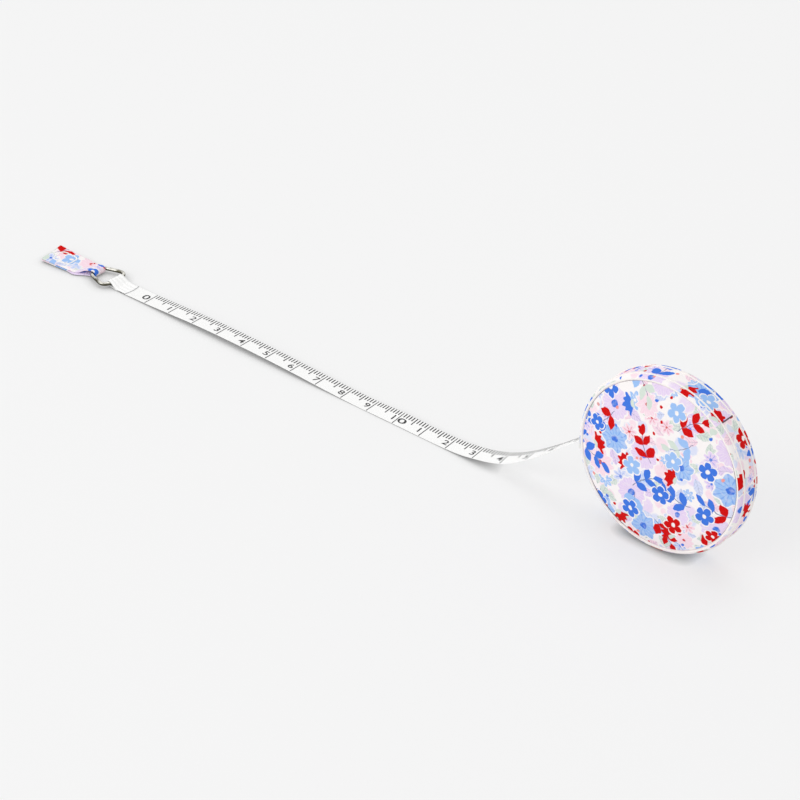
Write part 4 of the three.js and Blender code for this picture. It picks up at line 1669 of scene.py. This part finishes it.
@dataclass
class PullTab:
    """Folded cloth tab, drawn in at the ring and sewn in a box. Millimetres."""

    bar_x: float = -216.0
    bar_z: float = 1.4
    end_x: float = -234.5
    eye: float = 0.84
    cloth: float = 0.46
    under: float = 0.17
    over: float = 0.19
    gather: float = 0.13
    puff: float = 0.12
    slip: float = 0.75
    box: Place = (-232.0, -225.7, 2.55)
    box_corner: float = 1.3
    stitch_length: float = 1.1
    stitch_wide: float = 0.27
    stitch_high: float = 0.17
    wide: float = 4.4
    narrow: float = 2.4
    middle_y: float = -1.85
    skew: float = 0.11
    lift: float = 0.4
    twist: float = 1.2

    def share(self, x: float) -> float:
        """How far a place lies towards the tab's loose end, from 0 at the ring to 1."""
        return (self.bar_x - x) / (self.bar_x - self.end_x)

    def half_width(self, x: float) -> float:
        """Half the tab's width at a place along it."""
        share = eased((self.bar_x - 0.9 - x) / 5.6)
        return self.narrow + (self.wide - self.narrow) * share

    def middle(self, x: float) -> float:
        """Sideways place of the tab's middle at a place along it."""
        return self.middle_y - self.skew * max(0.0, self.bar_x - x)

    def swell(self, share: float) -> float:
        """How far the upper layer puffs up and lifts at a share of the tab's length."""
        puff = self.puff * math.sin(math.pi * min(1.0, max(0.0, (share - 0.2) / 0.8)))
        return puff + self.lift * share * share

    def turn_up(self, x: float, column: float) -> float:
        """How far the loose end's far side turns up, at a place along the tab and across it."""
        share = min(1.0, max(0.0, self.share(x)))
        return self.twist * share**2 * (0.5 + 0.5 * column) ** 1.5

    def side_line(self) -> list[Vector]:
        """Side line of the folded strip, from its lower end round the ring to its upper end.

        Returns:
            Points along the line, in the plane of the tab's length.
        """
        low, high = self.under + self.cloth / 2.0, self.over + 1.5 * self.cloth
        length, radius = self.end_x - self.bar_x, self.eye + self.cloth / 2.0
        lower, upper = (1.0, 0.8, 0.6, 0.4, 0.22), (0.26, 0.4, 0.6, 0.8, 1.0)
        line = [(self.bar_x + length * s, low + self.lift * s * s) for s in lower]
        line += round_bar((self.bar_x, self.bar_z), radius, -105.0, 210.0)
        line += [(self.bar_x - 1.5, 2.2), (self.bar_x - 3.0, 1.8)]
        line += [(self.bar_x + length * s, high + self.swell(s)) for s in upper]
        return curve([Vector((x, 0.0, z)) for x, z in line], 7)

    def strip(self) -> Piece:
        """Makes the folded strip with soft gathers where the ring draws it in.

        Returns:
            The strip.
        """
        line, columns = self.side_line(), spread(29)
        rows = []
        for k, (point, way) in enumerate(zip(line, headings(line))):
            x, up = point.x, Vector((way.z, 0.0, -way.x))
            gather = self.gather * (eased(1.0 - (self.bar_x - x) / 8.0) if x < self.bar_x else 1.0)
            lower = 1.0 if k < len(line) / 3.0 else 0.0
            slip = self.slip * lower * eased(1.0 - abs(x - self.bar_x + 4.5) / 4.5)
            outer, inner = [], []
            for column in columns:
                ripple = gather * (0.5 * math.cos(column * 11.0 + 0.6) - 0.5)
                thick = self.cloth / 2.0 * (1.0 - 0.55 * eased((abs(column) - 0.9) / 0.1))
                aside = self.middle(x) + column * self.half_width(x) - slip
                place = Vector((x, aside, point.z + self.turn_up(x, column)))
                outer.append(place + up * (thick + ripple * 0.4))
                inner.append(place - up * (thick - ripple * 0.3))
            rows.append([*outer, *reversed(inner)])
        piece = Bench.swept("tab_cloth", 55.0, rows)
        self.map_strip(piece, distances(line), len(columns))
        return piece

    def map_strip(self, piece: Piece, lengths: Sequence[float], count: int) -> None:
        """Gives the strip a map along and across its cloth.

        Args:
            piece: the strip.
            lengths: distances of its rows along the cloth.
            count: how many corners of a row lie on each side of the cloth.
        """
        layer = piece.data.uv_layers.new(name="UVMap")
        for loop in piece.data.loops:
            row, column = divmod(loop.vertex_index, 2 * count)
            column = min(column, 2 * count - 1 - column)
            across = (column / (count - 1) - 0.5) * 2.0 * self.wide
            layer.data[loop.index].uv = (lengths[row] / MAP_SPAN, across / MAP_SPAN)

    def top(self, x: float, out: float) -> Vector:
        """A point on the tab's upper side, at a distance out from its middle line."""
        rise = self.swell(self.share(x)) + self.turn_up(x, out / self.half_width(x))
        return Vector((x, self.middle(x) + out, self.over + 2.0 * self.cloth + rise))

    def box_line(self) -> list[Point]:
        """Corners of the sewn box, one stitch apart, with rounded turns.

        Returns:
            Places along the tab and out from its middle line, closed at the end.
        """
        far, near, reach = self.box
        turn = self.box_corner
        line = []
        ends = ((near, reach), (far, reach), (far, -reach), (near, -reach))
        for quarter, (x, y) in enumerate(ends):
            hub_x = x - math.copysign(turn, x - (near + far) / 2.0)
            hub_y = y - math.copysign(turn, y)
            for step in (0.0, 45.0, 90.0):
                angle = math.radians(90.0 * quarter + step)
                line.append((hub_x + turn * math.cos(angle), hub_y + turn * math.sin(angle)))
        stitched = [line[0]]
        for (x0, y0), (x1, y1) in zip(line, [*line[1:], line[0]]):
            count = max(1, round(math.hypot(x1 - x0, y1 - y0) / self.stitch_length))
            shares = [k / count for k in range(1, count + 1)]
            stitched += [(x0 + (x1 - x0) * s, y0 + (y1 - y0) * s) for s in shares]
        return stitched

    def stitch(self, start: Vector, end: Vector) -> Rows:
        """Makes one stitch that dips into the cloth at both ends.

        Args:
            start: its first end on the cloth.
            end: its second end.

        Returns:
            Its sections.
        """
        side = (end - start).normalized().cross(UP).normalized() * self.stitch_wide
        rows = []
        for share in (0.0, 0.2, 0.5, 0.8, 1.0):
            swell = math.sin(math.pi * (0.12 + 0.76 * share))
            middle = start.lerp(end, share) + UP * (0.1 * swell - 0.05)
            rows.append(oval(middle, side, UP * self.stitch_high, 6))
        return rows

    def stitches(self) -> Piece:
        """Makes the box of white stitches that holds the two layers together.

        Returns:
            The stitches.
        """
        line = self.box_line()
        solids = []
        for (x0, y0), (x1, y1) in zip(line, line[1:]):
            ends = [self.top(x0 + (x1 - x0) * s, y0 + (y1 - y0) * s) for s in (0.04, 0.96)]
            solids.append(self.stitch(*ends))
        return Bench.swept("tab_stitches", 80.0, *solids)

    def build(self) -> None:
        """Makes and dresses the tab."""
        dress(self.strip(), "tab", TAB_CLOTH, ["pull_tab"])
        dress(self.stitches(), "tab", SEWING_THREAD)


@dataclass
class Works:
    """The moulded, sprung and wound pieces inside the case. Millimetres."""

    turns: int = 7
    turn_steps: int = 40
    strip: float = 0.2
    inner_radius: float = 2.45
    outer_radius: float = 9.7
    spring_low: float = -2.9
    spring_high: float = 2.1
    hook_from: float = 1.0
    hook_to: float = 2.25
    hook_high: float = 1.4
    hook_round: float = 0.04
    washer_seat: float = -4.36
    washer_keep: float = 0.2

    FINISHES: ClassVar[Mapping[str, Finish]] = {
        "front_shell": WHITE_PLASTIC,
        "rear_shell": WHITE_PLASTIC,
        "push_button": WHITE_PLASTIC,
        "front_pad": WADDING,
        "rear_pad": WADDING,
        "reel_drum": GREY_PLASTIC,
        "reel_plate": GREY_PLASTIC,
        "tape_coil": TAPE_COAT,
        "brake_spring": SPRING_STEEL,
        "brake_ring": BRAKE_RUBBER,
    }

    def spiral(self) -> Piece:
        """Makes the wound part of the mainspring, clear of the post that it turns round.

        Returns:
            The spiral.
        """
        rows = []
        count = self.turns * self.turn_steps
        low, high = self.spring_low, self.spring_high
        for k in range(count + 1):
            angle = TURN * k / self.turn_steps
            near = self.inner_radius + (self.outer_radius - self.inner_radius) * k / count
            far = near + self.strip
            way = Vector((math.cos(angle), 0.0, math.sin(angle)))
            spots = ((near, low), (far, low), (far, high), (near, high))
            rows.append([way * out + Vector((0.0, y, AXIS_HEIGHT)) for out, y in spots])
        return Bench.swept("spring_coil", 40.0, rows)

    def hook(self) -> Piece:
        """Makes the mainspring's inner end, which stays in the post's slot.

        Returns:
            The hook.
        """
        low = (self.hook_from, self.spring_low, AXIS_HEIGHT - self.strip / 2.0)
        high = (self.hook_to, self.hook_high, AXIS_HEIGHT + self.strip / 2.0)
        piece = Bench.block("spring_hook", low, high)
        Bench.modify(piece, "BEVEL", {"width": self.hook_round * MM, "segments": 2})
        return piece

    def build(self) -> None:
        """Makes the mainspring and gives each inner solid its own finish."""
        dress(self.spiral(), "reel", SPRING_STEEL, ["mainspring"])
        dress(self.hook(), "case", SPRING_STEEL)
        for node, finish in self.FINISHES.items():
            finish.put_on(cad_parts[node])
            LOG.info("%s keeps its solid", node)
        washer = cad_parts["brake_spring"]
        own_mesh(washer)


@dataclass
class Studio:
    """Camera, floor and soft light. Metres."""

    eye: Place = (0.36961, -0.60720, 0.49122)
    right: Place = (0.77528, 0.62985, 0.04720)
    up: Place = (-0.36956, 0.39175, 0.84259)
    back: Place = (0.51221, -0.67069, 0.53648)
    lens: float = 137.52
    aim: Place = (-0.06, 0.0, 0.02)
    paper: Colour = ink(245, 245, 245)
    tooth: Colour = ink(238, 238, 238)
    # Painted contact shadow colour, laid on the floor under raised edges.
    covered: Colour = ink(127, 127, 127)
    sky_strength: float = 0.8
    even_share: float = 0.55
    floor_size: float = 6.0
    near: float = 0.45
    far: float = 1.1
    close: float = 0.0035

    def camera(self) -> None:
        """Sets the camera where the photograph was taken from."""
        data = bpy.data.cameras.new("studio_camera")
        data.lens = self.lens
        data.sensor_width = 36.0
        data.clip_start, data.clip_end = 0.01, 20.0
        camera = bpy.data.objects.new("studio_camera", data)
        bpy.context.scene.collection.objects.link(camera)
        axes = Matrix((self.right, self.up, self.back)).transposed().to_4x4()
        camera.matrix_world = Matrix.Translation(Vector(self.eye)) @ axes
        bpy.context.scene.camera = camera

    def seen(self, graph: Graph) -> Value:
        """A mask of the rays that show the backdrop itself.

        Args:
            graph: the node tree of the backdrop.

        Returns:
            The mask.
        """
        camera = graph.node("ShaderNodeLightPath", {}, {}, "Is Camera Ray")
        shown = camera.larger(camera.sibling("Is Glossy Ray"))
        return shown.larger(camera.sibling("Is Transmission Ray"))

    def floor(self) -> None:
        """Lays a wide pale floor that keeps the object's shadow."""
        Bench.clear()
        bpy.ops.mesh.primitive_plane_add(size=self.floor_size, location=(0.0, 0.0, 0.0))
        floor = bpy.context.object
        floor.name = floor.data.name = "studio_floor"
        bpy.ops.object.mode_set(mode="EDIT")
        bpy.ops.mesh.subdivide(number_cuts=7)
        Bench.clear()
        floor.data.materials.append(self.floor_paper())

    def floor_paper(self) -> bpy.types.Material:
        """Makes paper that is evenly lit far off, with painted contact shadow close under raised
        edges.

        Returns:
            The material.
        """
        made = bpy.data.materials.new("pale paper floor")
        made.use_nodes = True
        graph = Graph(made.node_tree)
        grain = graph.mix(graph.grain(900.0) * 0.02, self.paper, self.tooth)
        # Ambient occlusion mixes the paper towards the covered grey: painted contact shadow under
        # raised edges.
        reach = {"Distance": self.close}
        open_sky = graph.node("ShaderNodeAmbientOcclusion", {"samples": 8}, reach, "AO")
        shade = {"Base Color": graph.mix(open_sky, self.covered, grain), "Roughness": 0.9}
        surface = graph.node("ShaderNodeBsdfPrincipled", {}, shade)
        lit = {"Color": graph.mix(open_sky, self.covered, self.paper), "Strength": 1.0}
        even = graph.node("ShaderNodeEmission", {}, lit)
        out = graph.vector("LENGTH", graph.place()).sibling("Value")
        faded = ((out - self.near) / (self.far - self.near)).larger(0.0).smaller(1.0)
        shown = self.seen(graph) * (faded * (1.0 - self.even_share) + self.even_share)
        paper = graph.node("ShaderNodeMixShader", {}, {0: shown, 1: surface, 2: even})
        graph.node("ShaderNodeOutputMaterial", {}, {"Surface": paper})
        return made

    def sky(self) -> None:
        """Lights everything evenly and shows paper white behind the floor."""
        world = bpy.data.worlds.new("studio_world")
        bpy.context.scene.world = world
        world.use_nodes = True
        graph = Graph(world.node_tree)
        strength = self.seen(graph) * (1.0 - self.sky_strength) + self.sky_strength
        light = graph.node("ShaderNodeBackground", {}, {"Color": self.paper, "Strength": strength})
        graph.node("ShaderNodeOutputWorld", {}, {"Surface": light})

    def lamp(self, name: str, place: Place, size: float, power: float) -> None:
        """Hangs one square soft box that looks at the case.

        Args:
            name: the lamp's name.
            place: where it hangs.
            size: its side.
            power: its power in watts.
        """
        data = bpy.data.lights.new(name, "AREA")
        data.size = size
        data.energy = power
        lamp = bpy.data.objects.new(name, data)
        bpy.context.scene.collection.objects.link(lamp)
        lamp.location = place
        lamp.rotation_mode = "QUATERNION"
        lamp.rotation_quaternion = (Vector(self.aim) - Vector(place)).to_track_quat("-Z", "Y")

    def build(self) -> None:
        """Sets up the whole studio."""
        bpy.context.scene.view_settings.view_transform = "Standard"
        self.camera()
        self.floor()
        self.sky()
        self.lamp("top_box", (-0.25, 0.35, 1.25), 0.8, 2.8)
        self.lamp("front_box", (-0.5, -1.3, 0.8), 1.2, 7.2)


def main() -> None:
    """Builds the studio and every piece in order."""
    logging.basicConfig(level=logging.INFO)
    Studio().build()
    EndRing().build()
    PullTab().build()
    Tape().build()
    CaseCover().build()
    ReleaseButton().build()
    Works().build()


if __name__ == "__main__":
    main()
